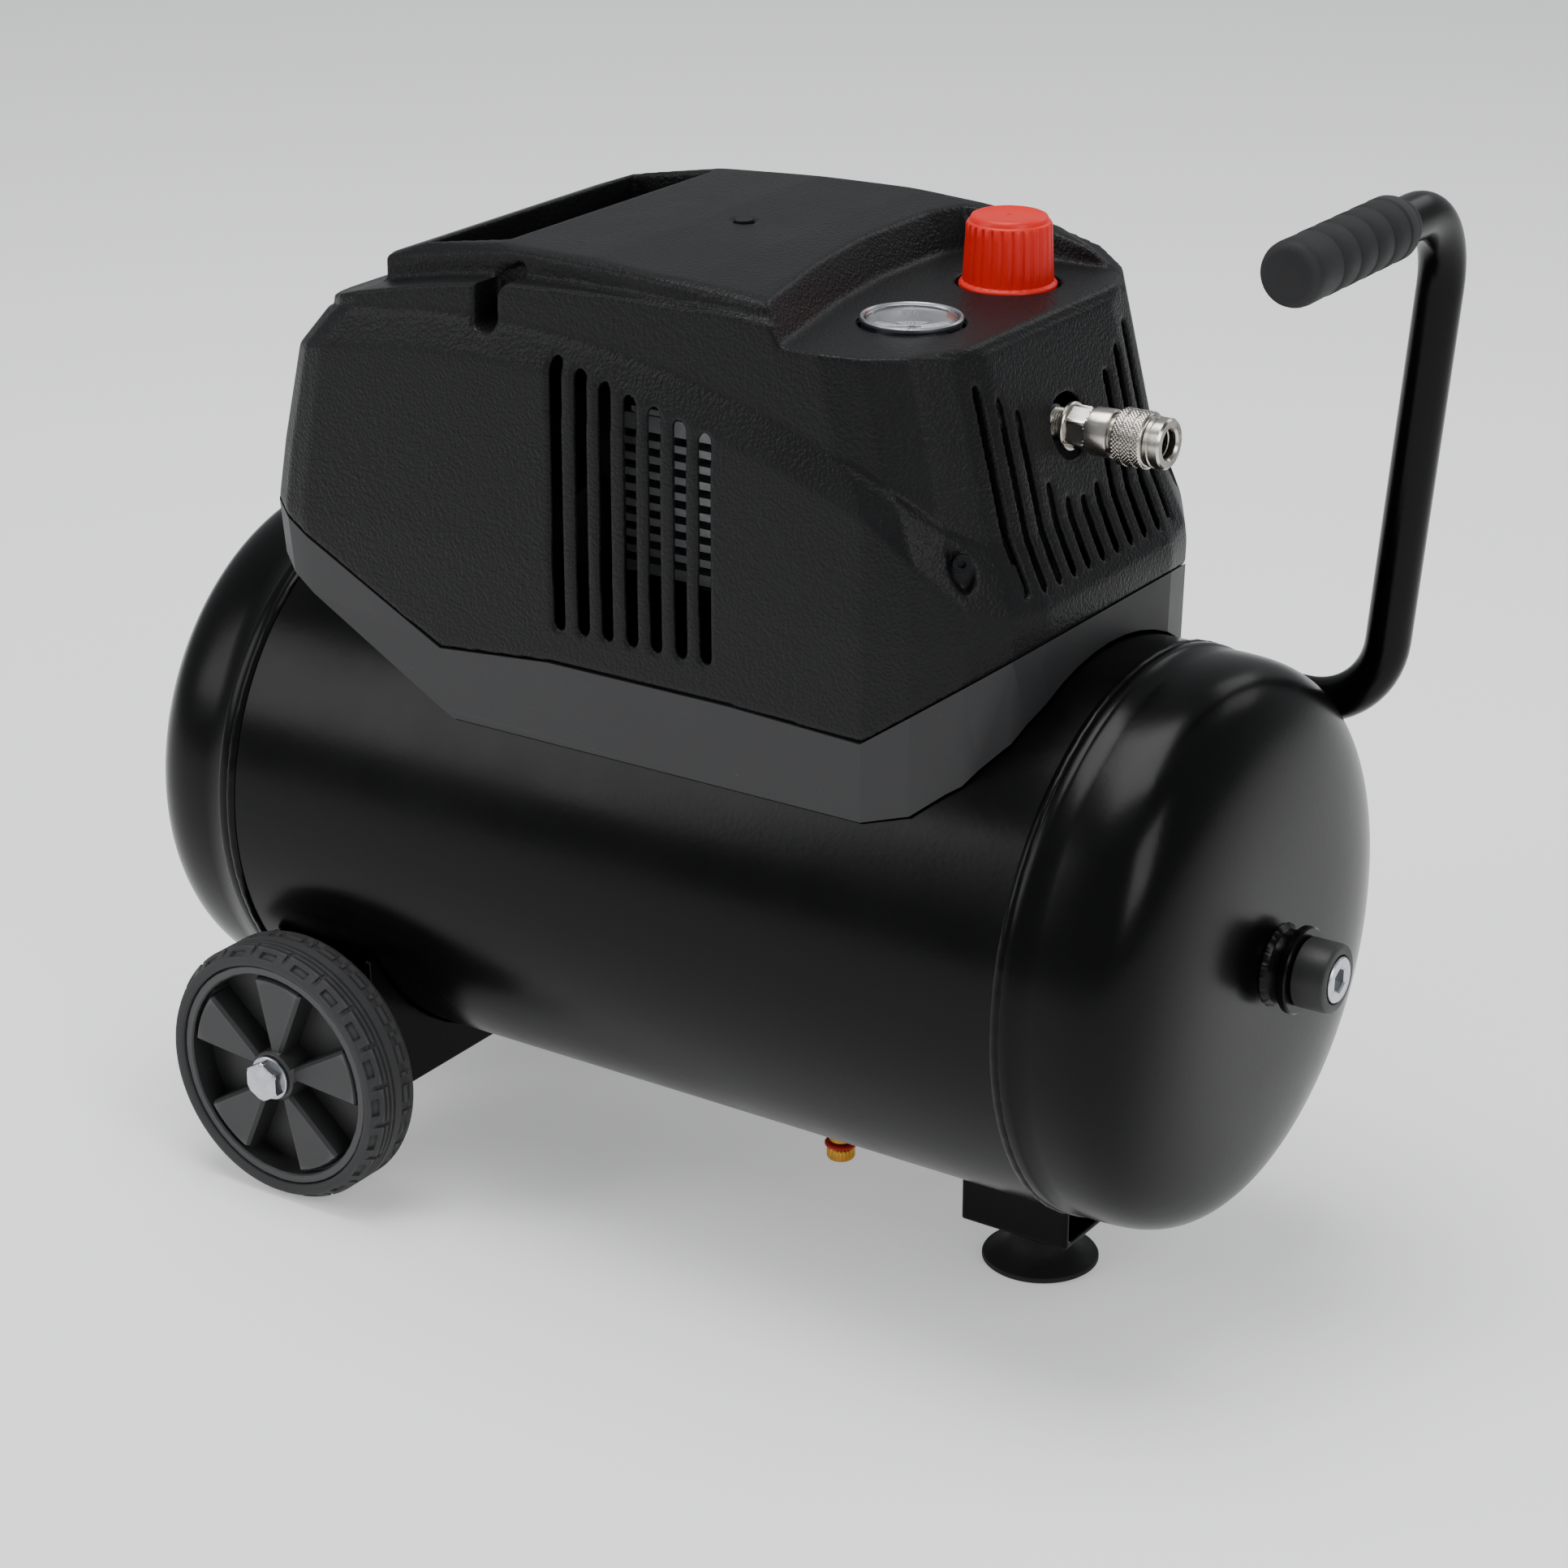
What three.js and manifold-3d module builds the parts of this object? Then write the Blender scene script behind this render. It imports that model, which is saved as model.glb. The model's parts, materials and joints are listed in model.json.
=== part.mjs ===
// Horizontal-tank ("hotdog") air compressor, millimetres, +Z up, +X toward the push handle.
import * as THREE from 'three';
import { ConvexGeometry } from 'three/addons/geometries/ConvexGeometry.js';
import { mergeVertices } from 'three/addons/utils/BufferGeometryUtils.js';
import Module from 'manifold-3d';

const wasm = await Module();
wasm.setup();

// ---- driving dimensions ----
const GAP = 0.3;
const TANK_R = 125;
const TANK_HALF = 210.5;
const HEAD_DEPTH = 57.6;
const HEAD_STEPS = 7;
const WALL = 2.5;
const AXIS_H = 173.7;
const X_SHIFT = -13.25;
const WHEEL_X = -165.5;
const WHEEL_R = 62.2;
const WHEEL_Y = 121;
const WHEEL_W = 29;
const FOOT_X = 157;
const HOOD_T = 3;
const GAUGE = [106, -38.5];
const KNOB = [106, 38.5];
const DECK_Z = 262;
const COUPLER_Z = 217;
const MOTOR_Z = 182;
const CYL_X = 10;
const CASE_Y = 50;
const DRAIN_X = 49.5;
const GLAND_Z = 87;
const LEG_Y = 114;
const TUBE_R = 10;

// ---- materials ----
const MATERIALS = {
  paint: [0x121214, 0.28, 0.3],
  abs: [0x242527, 0.72, 0],
  skirt: [0x2a2b2d, 0.68, 0],
  rubber: [0x1f2022, 0.9, 0],
  grip: [0x4a4b4d, 0.85, 0],
  rim: [0x2b2c2e, 0.5, 0],
  zinc: [0xc2c4c6, 0.35, 0.9],
  nickel: [0xd3cfc6, 0.2, 1],
  brass: [0xc79a3f, 0.3, 1],
  red: [0xd32017, 0.45, 0],
  seal: [0xb3241c, 0.8, 0],
  alloy: [0xb0b2b4, 0.45, 0.8],
  dark: [0x1a1a1b, 0.6, 0.1],
  white: [0xf1f1ec, 0.6, 0],
  clear: [0xdfe6e8, 0.08, 0],
};

const frame = new THREE.Group();
frame.position.set(X_SHIFT, 0, AXIS_H);
const group = new THREE.Group();
group.add(frame);

// ---- closed solids ----
function volumeOf(g) {
  const p = g.attributes.position;
  const i = g.index;
  let v = 0;
  const a = new THREE.Vector3();
  const b = new THREE.Vector3();
  const c = new THREE.Vector3();
  for (let k = 0; k < i.count; k += 3) {
    a.fromBufferAttribute(p, i.getX(k));
    b.fromBufferAttribute(p, i.getX(k + 1));
    c.fromBufferAttribute(p, i.getX(k + 2));
    v += a.dot(b.cross(c));
  }
  return v;
}

function closed(source) {
  const g = source.clone();
  g.deleteAttribute('normal');
  g.deleteAttribute('uv');
  const m = mergeVertices(g, 1e-4);
  const kept = [];
  const idx = m.index.array;
  for (let k = 0; k < idx.length; k += 3) {
    const [a, b, c] = [idx[k], idx[k + 1], idx[k + 2]];
    if (a !== b && b !== c && a !== c) kept.push(a, b, c);
  }
  m.setIndex(kept);
  if (volumeOf(m) < 0) {
    for (let k = 0; k < kept.length; k += 3) [kept[k], kept[k + 1]] = [kept[k + 1], kept[k]];
    m.setIndex(kept);
  }
  return m;
}

function solid(geometry) {
  const g = closed(geometry);
  const mesh = new wasm.Mesh({
    numProp: 3,
    vertProperties: new Float32Array(g.attributes.position.array),
    triVerts: new Uint32Array(g.index.array),
  });
  return new wasm.Manifold(mesh);
}

function geometryOf(manifold) {
  const m = manifold.getMesh();
  const g = new THREE.BufferGeometry();
  g.setAttribute('position', new THREE.BufferAttribute(new Float32Array(m.vertProperties), 3));
  g.setIndex(new THREE.BufferAttribute(new Uint32Array(m.triVerts), 1));
  return g;
}

function join(...geometries) {
  let out = solid(geometries[0]);
  for (const g of geometries.slice(1)) out = out.add(solid(g));
  return geometryOf(out);
}

function cut(geometry, ...tools) {
  let out = solid(geometry);
  for (const g of tools) out = out.subtract(solid(g));
  return geometryOf(out);
}

function put(name, geometry, look) {
  const [color, roughness, metalness] = MATERIALS[look];
  const mesh = new THREE.Mesh(
    closed(geometry),
    new THREE.MeshStandardMaterial({ color, roughness, metalness }),
  );
  mesh.name = name;
  frame.add(mesh);
  return mesh;
}

// ---- shape helpers ----
function box(x0, x1, y0, y1, z0, z1) {
  const g = new THREE.BoxGeometry(x1 - x0, y1 - y0, z1 - z0);
  return g.translate((x0 + x1) / 2, (y0 + y1) / 2, (z0 + z1) / 2);
}

function turned(profile, seg, axis, at) {
  const g = new THREE.LatheGeometry(profile.map(([r, h]) => new THREE.Vector2(r, h)), seg);
  if (axis === 'x') g.rotateZ(-Math.PI / 2);
  if (axis === 'z') g.rotateX(Math.PI / 2);
  return g.translate(...at);
}

function rod(r, h0, h1, seg, axis, at) {
  return turned([[0, h0], [r, h0], [r, h1], [0, h1]], seg, axis, at);
}

function ring(rIn, rOut, h0, h1, seg, axis, at) {
  const loop = [[rIn, h0], [rOut, h0], [rOut, h1], [rIn, h1], [rIn, h0]];
  return turned(loop, seg, axis, at);
}

function plate(points, h0, h1, axis, holes = []) {
  const shape = new THREE.Shape(points.map(([a, b]) => new THREE.Vector2(a, b)));
  for (const [a, b, r] of holes) {
    const hole = new THREE.Path();
    hole.absarc(a, b, r, 0, Math.PI * 2, true);
    shape.holes.push(hole);
  }
  const g = new THREE.ExtrudeGeometry(shape, {
    depth: h1 - h0,
    bevelEnabled: false,
    curveSegments: 16,
  });
  g.translate(0, 0, h0);
  if (axis === 'y') g.rotateX(Math.PI / 2).scale(1, -1, 1);
  if (axis === 'x') g.applyMatrix4(new THREE.Matrix4().set(0, 0, 1, 0, 1, 0, 0, 0, 0, 1, 0, 0, 0, 0, 0, 1));
  return g;
}

function hexagon(across) {
  const r = across / Math.sqrt(3);
  const out = [];
  for (let k = 0; k < 6; k += 1) {
    const a = (k * Math.PI) / 3 + Math.PI / 6;
    out.push([r * Math.cos(a), r * Math.sin(a)]);
  }
  return out;
}

function tooth(count, rOut, depth) {
  const out = [];
  for (let k = 0; k < count * 4; k += 1) {
    const a = (k * Math.PI * 2) / (count * 4);
    const r = k % 4 < 2 ? rOut : rOut - depth;
    out.push([r * Math.cos(a), r * Math.sin(a)]);
  }
  return out;
}

function bent(points, radius, seg, steps) {
  const path = new THREE.CatmullRomCurve3(points.map((p) => new THREE.Vector3(...p)), false, 'centripetal');
  const section = new THREE.Shape();
  section.absarc(0, 0, radius, 0, Math.PI * 2, false);
  return new THREE.ExtrudeGeometry(section, {
    extrudePath: path,
    steps,
    curveSegments: seg,
    bevelEnabled: false,
  });
}

// Centre line with true arcs of one radius between straight runs.
function filleted(corners, radius, perArc) {
  const pts = corners.map((p) => new THREE.Vector3(...p));
  const out = [pts[0].toArray()];
  for (let k = 1; k < pts.length - 1; k += 1) {
    const a = pts[k - 1].clone().sub(pts[k]).normalize();
    const b = pts[k + 1].clone().sub(pts[k]).normalize();
    const half = Math.acos(a.dot(b)) / 2;
    const run = radius / Math.tan(half);
    const centre = a.clone().add(b).normalize().multiplyScalar(radius / Math.sin(half)).add(pts[k]);
    const p = a.clone().multiplyScalar(run).add(pts[k]).sub(centre);
    const q = b.clone().multiplyScalar(run).add(pts[k]).sub(centre);
    const sweep = Math.acos(p.dot(q) / (radius * radius));
    for (let s = 0; s <= perArc; s += 1) {
      const u = Math.sin(sweep * (1 - s / perArc)) / Math.sin(sweep);
      const v = Math.sin((sweep * s) / perArc) / Math.sin(sweep);
      out.push(p.clone().multiplyScalar(u).add(q.clone().multiplyScalar(v)).add(centre).toArray());
    }
  }
  out.push(pts[pts.length - 1].toArray());
  return out;
}

function ease(a, b, x) {
  const t = Math.min(1, Math.max(0, (x - a) / (b - a)));
  return t * t * (3 - 2 * t);
}

function along(table, x) {
  if (x <= table[0][0]) return table[0][1];
  for (let k = 1; k < table.length; k += 1) {
    const [x0, y0] = table[k - 1];
    const [x1, y1] = table[k];
    if (x <= x1) return y0 + ((y1 - y0) * (x - x0)) / (x1 - x0);
  }
  return table[table.length - 1][1];
}

// ---- tank ----
function headProfile(offset, steps) {
  const r = TANK_R - offset;
  const d = HEAD_DEPTH - offset;
  const out = [];
  for (let k = 0; k <= steps; k += 1) {
    const a = (k / steps) ** 1.4 * (Math.PI / 2);
    out.push([r * Math.sqrt(Math.cos(a)), d * Math.sqrt(Math.sin(a))]);
  }
  out[steps][0] = 0;
  return out;
}

function tankHead(side, portR) {
  const outer = headProfile(0, HEAD_STEPS);
  const inner = headProfile(WALL, HEAD_STEPS - 3).reverse();
  const loop = [
    [TANK_R - WALL, -6], [TANK_R - 0.6, -6], [TANK_R + 1, -5], [TANK_R + 1, 0],
    ...outer.slice(1), ...inner.slice(0, -1), [TANK_R - WALL, 0], [TANK_R - WALL, -6],
  ];
  let g = turned(loop, 36, 'x', [0, 0, 0]);
  if (portR > 0) g = cut(g, rod(portR, 20, 90, 24, 'x', [0, 0, 0]));
  if (side < 0) g.rotateZ(Math.PI);
  return g.translate(side * TANK_HALF, 0, 0);
}

function buildTank() {
  const half = TANK_HALF - 6 - GAP;
  const wall = ring(TANK_R - WALL, TANK_R, -half, half, 36, 'x', [0, 0, 0]);
  const drainHole = rod(6, -135, -110, 20, 'z', [DRAIN_X, 0, 0]);
  const valveHole = rod(8, 110, 140, 20, 'z', [118, -30, 0]);
  put('tank_shell', cut(wall, drainHole, valveHole), 'paint');
  put('tank_head_left', tankHead(-1, 0), 'paint');
  put('tank_head_right', tankHead(1, 13), 'paint');
  const face = TANK_HALF + HEAD_DEPTH;
  const socketWall = [
    [12.6, face + GAP], [16, face + GAP], [16, face + 7.5], [19, face + 7.5], [19, face + 11.5],
    [12.6, face + 11.5], [12.6, face + GAP],
  ];
  put('port_flange', turned(socketWall, 32, 'x', [0, 0, 0]), 'paint');
  put('port_reducer', ring(7.5, 15.2, face + 11.5 + GAP, face + 22.4, 32, 'x', [0, 0, 0]), 'dark');
  const stem = [[0, -6], [7, -6], [7, 6.3], [10, 6.3], [10, 11.4], [0, 11.4]];
  const plug = turned(stem, 28, 'x', [face + 16.5, 0, 0]);
  const socket = plate(hexagon(8), face + 20.4, face + 40, 'x');
  put('port_plug', cut(plug, socket), 'zinc');
}

function buildDrain() {
  const at = [DRAIN_X, 0, 0];
  put('drain_boss', ring(5, 8.5, -TANK_R - 8, -TANK_R - GAP, 24, 'z', at), 'paint');
  const body = [
    [0, -153.4], [3.6, -153.4], [3.6, -146.4], [5.5, -146.4], [5.5, -133.3], [0, -133.3],
  ];
  put('drain_stem', turned(body, 20, 'z', at), 'brass');
  put('drain_seal', ring(3.9, 7.6, -148.7, -146.7, 28, 'z', at), 'seal');
  const cap = plate(tooth(20, 6.7, 0.5), -155.4, -149, 'z');
  cap.translate(DRAIN_X, 0, 0);
  put('drain_cap', cut(cap, rod(3.9, -153.7, -140, 20, 'z', at)), 'brass');
}

// ---- wheels and foot ----
function span(side, a, b) {
  const y0 = side * (WHEEL_Y + a);
  const y1 = side * (WHEEL_Y + b);
  return [Math.min(y0, y1), Math.max(y0, y1)];
}

function buildWheel(side, tag, at) {
  const [lo, hi] = span(side, 0, WHEEL_W);
  const tyre = [
    [54.2, lo + 0.6], [60.4, lo], [WHEEL_R, lo + 2.5], [WHEEL_R, hi - 2.5],
    [60.4, hi], [54.2, hi - 0.6], [54.2, lo + 0.6],
  ];
  put(`wheel_tyre_${tag}`, turned(tyre, 40, 'y', at), 'rubber');
  const [d0, d1] = span(side, WHEEL_W - 18.5, WHEEL_W - 15.5);
  const rim = ring(49.5, 53.9, lo + 2, hi - 2, 32, 'y', at);
  const disc = ring(10, 50.5, d0, d1, 32, 'y', at);
  const hub = ring(6.4, 12, lo + 0.6, hi - 0.6, 20, 'y', at);
  let wheel = join(rim, disc, hub);
  for (let k = 0; k < 5; k += 1) {
    const outline = [[9, -2.2], [50.5, -15.3], [50.5, 15.3], [9, 2.2]];
    const wedge = plate(outline, ...span(side, 2.5, WHEEL_W - 2.5), 'y');
    wedge.rotateY((-(k * 72 + 13) * Math.PI) / 180).translate(...at);
    wheel = join(wheel, wedge);
  }
  wheel = cut(wheel, rod(6.4, lo - 5, hi + 5, 20, 'y', at));
  put(`wheel_hub_${tag}`, wheel, 'rim');
}

function buildAxle(side, tag, at) {
  const part = (a, b) => span(side, a, b);
  const bolt = join(
    rod(6, ...part(-24, WHEEL_W + 1), 14, 'y', at),
    rod(10.5, ...part(WHEEL_W + 0.3, WHEEL_W + 1.5), 20, 'y', at),
    plate(hexagon(17), ...part(WHEEL_W + 1.2, WHEEL_W + 7), 'y').translate(...at),
  );
  put(`axle_bolt_${tag}`, bolt, 'zinc');
  const nut = plate(hexagon(18), ...part(-18, -9.3), 'y', [[0, 0, 6.3]]).translate(...at);
  put(`axle_nut_${tag}`, nut, 'zinc');
}

function buildWheels() {
  const axleZ = WHEEL_R - AXIS_H;
  const at = [WHEEL_X, 0, axleZ];
  for (const [side, tag] of [[-1, 'front'], [1, 'rear']]) {
    buildWheel(side, tag, at);
    buildAxle(side, tag, at);
  }
  const x = WHEEL_X;
  const yOut = WHEEL_Y - 5;
  const yIn = WHEEL_Y - 9;
  const z0 = axleZ - 19;
  let bracket = join(
    box(x - 27, x + 33, -yOut, yOut, z0, z0 + 3),
    box(x - 27, x - 24, -yOut, yOut, z0, -58),
    box(x + 30, x + 33, -yOut, yOut, z0, -58),
    box(x - 27, x + 33, -yOut, -yIn, z0, -66),
    box(x - 27, x + 33, yIn, yOut, z0, -66),
    rod(11, -WHEEL_Y + 0.3, -yIn, 24, 'y', at),
    rod(11, yIn, WHEEL_Y - 0.3, 24, 'y', at),
  );
  bracket = cut(
    bracket,
    rod(TANK_R + 0.6, -300, 300, 48, 'x', [0, 0, 0]),
    rod(6.4, -140, 140, 24, 'y', at),
  );
  put('wheel_bracket', bracket, 'paint');
}

function buildFoot() {
  const x0 = FOOT_X - 27;
  const x1 = FOOT_X + 27;
  const plateZ = -152;
  let bracket = join(
    box(x0, x1, -25, 25, plateZ, plateZ + 3),
    box(x0, x1, -25, -22, plateZ, -112),
    box(x0, x1, 22, 25, plateZ, -112),
  );
  const tank = rod(TANK_R + 0.6, -300, 300, 48, 'x', [0, 0, 0]);
  bracket = cut(bracket, tank, rod(5.4, -170, -140, 20, 'z', [FOOT_X, 0, 0]));
  put('foot_bracket', bracket, 'paint');
  const top = plateZ - GAP;
  const bottom = -AXIS_H;
  const cone = [
    [5.4, bottom + 5], [20, bottom + 1.2], [22, bottom], [26.4, bottom], [26.4, bottom + 3],
    [16, bottom + 9], [12.5, bottom + 15], [12.5, top], [5.4, top], [5.4, bottom + 5],
  ];
  put('foot_rubber', turned(cone, 28, 'z', [FOOT_X, 0, 0]), 'rubber');
  const bolt = join(
    rod(5, bottom + 9, plateZ + 11, 20, 'z', [FOOT_X, 0, 0]),
    plate(hexagon(16), plateZ + 3.3, plateZ + 9.5, 'z').translate(FOOT_X, 0, 0),
  );
  put('foot_bolt', bolt, 'zinc');
}

// ---- push handle ----
function buildHandle() {
  const pts = filleted(
    [[150, LEG_Y, 73.2], [253.5, LEG_Y, 73.2], [272.5, LEG_Y, 304], [272.5, -31, 304]],
    44,
    6,
  );
  const tube = cut(bent(pts, TUBE_R, 6, 30), rod(TANK_R + 1.6, -300, 300, 48, 'x', [0, 0, 0]));
  put('handle_tube', tube, 'paint');
  const grip = [
    [10.7, 96], [12.6, 96], [13.6, 93], [13.6, 78], [12.7, 76], [13.6, 74], [13.6, 58], [12.7, 56],
    [13.6, 54], [13.6, 38], [12.7, 36], [13.6, 34], [13.6, 6], [12.6, 1.5], [9, 0], [0, 0], [0, 3.7],
    [10.7, 3.7], [10.7, 96],
  ];
  const g = turned(grip, 20, 'y', [0, 0, 0]);
  put('handle_grip', g.translate(272.5, -35.1, 304), 'grip');
}


// ---- pump hood: every level is a rounded outline, the body is the hull of its levels ----
const SHOULDER = [[-160, 245], [-128, 255], [-90, 262.5], [-56, 268], [0, 271], [80, 272], [100, 270],
  [120, 266.5], [140, 261], [149, 257.5]];
const CROWN = [[-137, 264], [-115, 272], [-72, 279], [-20, 281], [30, 280.5], [60, 279], [80, 277],
  [100, 274], [120, 270], [140, 264], [147, 261]];
const CROWN_HALF = [[-137, 79], [-60, 88], [20, 97], [80, 97], [100, 95], [120, 86], [140, 73], [147, 62]];

function outline(xL, xR, w, rL, rR, t) {
  const n = t > 0 ? 2 : 4;
  const out = [];
  const corner = (cx, cy, r, a0) => {
    for (let k = 0; k <= n; k += 1) {
      const a = a0 + (k / n) * (Math.PI / 2);
      out.push([cx + r * Math.cos(a), cy + r * Math.sin(a)]);
    }
  };
  const side = (x0, x1, y) => {
    for (let k = 1; k < 6; k += 1) out.push([x0 + ((x1 - x0) * k) / 6, y]);
  };
  corner(xR - rR, w - rR, rR, 0);
  side(xR - rR, xL + rL, w);
  corner(xL + rL, w - rL, rL, Math.PI / 2);
  corner(xL + rL, -w + rL, rL, Math.PI);
  side(xL + rL, xR - rR, -w);
  corner(xR - rR, -w + rR, rR, (Math.PI * 3) / 2);
  return out;
}

function crease(x) {
  const fall = x > -60 ? 0.00105 * (x + 60) ** 2 : 0.001 * (x + 60) ** 2;
  return 250 - fall - 13 * ease(125, 169, x);
}

function hull(levels) {
  const pts = [];
  for (const [loop, height] of levels) {
    for (const [x, y] of loop) pts.push(new THREE.Vector3(x, y, height(x, y)));
  }
  return new ConvexGeometry(pts);
}

function upperBody(t) {
  return hull([
    [outline(-166 + t, 177.6 - t, 102 - t, 26, 52, t), () => 150],
    [outline(-161 + t, 149 - t, 101 - t, 24, 50, t), (x) => along(SHOULDER, x) - t],
  ]);
}

function crownBody(t) {
  const pts = [];
  for (const [x] of CROWN_HALF) {
    const w = along(CROWN_HALF, x) - t;
    const px = Math.min(147 - t, Math.max(-137 + t, x));
    for (const s of [-1, 1]) {
      pts.push(new THREE.Vector3(px, s * w, along(CROWN, x) - t - 1.5));
      pts.push(new THREE.Vector3(px, s * (w - 5), along(CROWN, x) - t));
      pts.push(new THREE.Vector3(px, s * w, 220));
    }
  }
  for (const [x, z] of CROWN) {
    const px = Math.min(147 - t, Math.max(-137 + t, x));
    for (const s of [-1, 1]) pts.push(new THREE.Vector3(px, s * (along(CROWN_HALF, x) - t - 5), z - t));
  }
  return new ConvexGeometry(pts);
}

function lowerBody(t) {
  return hull([
    [outline(-188 + t, 181 - t, 106 - t, 30, 55, t), () => 64],
    [outline(-196 + t, 182 - t, 107.5 - t, 30, 55, t), () => 150],
    [outline(-190 + t, 171 - t, 107 - t, 28, 54, t), () => 178],
    [outline(-178 + t, 181.4 - t, 106.6 - t, 26, 55, t), (x) => crease(x) - 14 - 6 * ease(140, 169, x)],
    [outline(-165 + t, 169.3 - t, 102.3 - t, 26, 52, t), (x) => crease(x) - t * 0.6],
  ]);
}

function seamBlock(dz) {
  const line = [[-230, 172], [-92, 100.5], [-33, 106], [60, 106], [126, 103.5], [230, 176.3]];
  const loop = [[-230, -20], [230, -20], ...line.reverse()];
  return plate(loop.map(([x, z]) => [x, z + dz]), -140, 140, 'y');
}

function slotLoop(w, z0, z1) {
  const r = w / 2;
  const out = [];
  for (let k = 0; k <= 3; k += 1) {
    const a = Math.PI + (k / 3) * Math.PI;
    out.push([r * Math.cos(a), z0 + r + r * Math.sin(a)]);
  }
  for (let k = 0; k <= 3; k += 1) {
    const a = (k / 3) * Math.PI;
    out.push([r * Math.cos(a), z1 - r + r * Math.sin(a)]);
  }
  return out;
}

const KEY_SLOT = [
  [-71.4, 249], [-69.5, 246], [-61.7, 246], [-59.8, 249], [-59.8, 262], [-57, 266], [-54, 268],
  [-52.6, 271.4], [-56, 274], [-66, 269], [-71.4, 264],
];

function leaf(x, z, halfWidth, halfHeight) {
  const out = [];
  for (let k = 0; k < 16; k += 1) {
    const a = (k / 16) * Math.PI * 2;
    const across = halfWidth * Math.sign(Math.cos(a)) * Math.abs(Math.cos(a)) ** 1.4;
    out.push([x + across - 2 * Math.sin(a), z + halfHeight * Math.sin(a)]);
  }
  return out;
}

function buildHood() {
  const outer = solid(upperBody(0)).add(solid(lowerBody(0))).add(solid(crownBody(0)));
  const inner = solid(upperBody(HOOD_T)).add(solid(lowerBody(HOOD_T))).add(solid(crownBody(HOOD_T)));
  const seam = solid(seamBlock(0));
  const seamLow = solid(seamBlock(-GAP));
  // cover shell with the grab well, the control deck and screw posts
  let cover = outer.subtract(inner);
  const wellOuter = solid(box(-118, -69, -78, 78, 236, 300));
  cover = cover.add(wellOuter.intersect(outer));
  const deckFoot = [[200, -120], [88, -120], [78, -64], [66, -30], [60, 10], [60, 60], [66, 79], [200, 79]];
  const deckRim = deckFoot.map(([x, y]) => [x - (x < 160 ? 12 : 0), y * 1.06]);
  const deckSolid = new ConvexGeometry([
    ...deckFoot.map(([x, y]) => new THREE.Vector3(x, y, DECK_Z)),
    ...deckRim.map(([x, y]) => new THREE.Vector3(x, y, 285)),
  ]);
  const deckUnder = box(45, 190, -110, 90, DECK_Z - HOOD_T, 290);
  cover = cover.add(solid(deckUnder).intersect(outer));
  cover = cover.subtract(solid(deckSolid));
  cover = cover.subtract(solid(box(-115, -72, -75, 75, 239, 300)));
  for (const s of [-1, 1]) {
    cover = cover.add(solid(box(-75, -42, 79, 100.5, 241, 280).scale(1, s, 1)).intersect(outer));
    const leftRecess = plate(KEY_SLOT, 85, 120, 'y');
    cover = cover.subtract(solid(leftRecess.scale(1, s, 1)));
    const onCorner = (g) => solid(g.rotateZ(-0.72).translate(162.2, 88, 0).scale(1, s, 1));
    cover = cover.add(onCorner(box(-9, 9, -9, 2, 165, 198)).intersect(outer));
    cover = cover.subtract(onCorner(plate(leaf(0, 181.5, 5.8, 13), -5.5, 20, 'y')));
    for (let k = 0; k < 7; k += 1) {
      const x = -26 + 12.6 * k;
      const slot = plate(slotLoop(5.6, 121.5, 242 - 3.3 * k), 95, 120, 'y').translate(x, 0, 0).scale(1, s, 1);
      cover = cover.subtract(solid(slot));
    }
  }
  const slotTops = [188.6, 190.5, 199.4, 231.8, 239.5, 247];
  for (let k = -5; k <= 5; k += 1) {
    const slot = plate(slotLoop(4.4, 161.5, slotTops[Math.abs(k)]), 120, 200, 'x').translate(0, 12 * k, 0);
    cover = cover.subtract(solid(slot));
  }
  for (const [x, y] of [GAUGE, KNOB]) cover = cover.subtract(solid(rod(22.3, 240, 290, 28, 'z', [x, y, 0])));
  cover = cover.subtract(solid(rod(13.5, 120, 200, 28, 'x', [0, 0, COUPLER_Z])));
  cover = cover.subtract(solid(rod(4.4, 260, 290, 20, 'z', [-3, 0, 0])));
  cover = cover.subtract(seam);
  put('hood_cover', geometryOf(cover), 'abs');

  // lower tray that follows the tank and closes under the pump
  const tank = solid(rod(TANK_R + 1.4, -260, 260, 60, 'x', [0, 0, 0]));
  const floor = solid(rod(TANK_R + 5, -260, 260, 60, 'x', [0, 0, 0]));
  const ramp = [[-230, -20], [-230, 150.5], [-94, 72.5], [-70, 60], [-70, -20]];
  const rampUnder = solid(plate(ramp, -140, 140, 'y'));
  const rampFloor = solid(plate(ramp.map(([x, z]) => [x, z + 4]), -140, 140, 'y'));
  let tray = solid(lowerBody(0)).subtract(tank).subtract(rampUnder).intersect(seamLow);
  const room = solid(lowerBody(HOOD_T)).subtract(floor).subtract(rampFloor);
  tray = tray.subtract(room).subtract(solid(box(-150, 150, -62, 62, 60, 200)));
  tray = tray.subtract(solid(rod(7, 95, 115, 24, 'y', [-40, 0, GLAND_Z])));
  put('hood_skirt', geometryOf(tray), 'skirt');
  put('hood_plug', rod(4.1, 276, 281.6, 20, 'z', [-3, 0, 0]), 'abs');
}

// ---- controls on the deck ----
function tapered(g, z0, z1, topScale) {
  const p = g.attributes.position;
  for (let k = 0; k < p.count; k += 1) {
    const t = Math.min(1, Math.max(0, (p.getZ(k) - z0) / (z1 - z0)));
    const f = 1 + (topScale - 1) * t;
    p.setXY(k, p.getX(k) * f, p.getY(k) * f);
  }
  return g;
}

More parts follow.
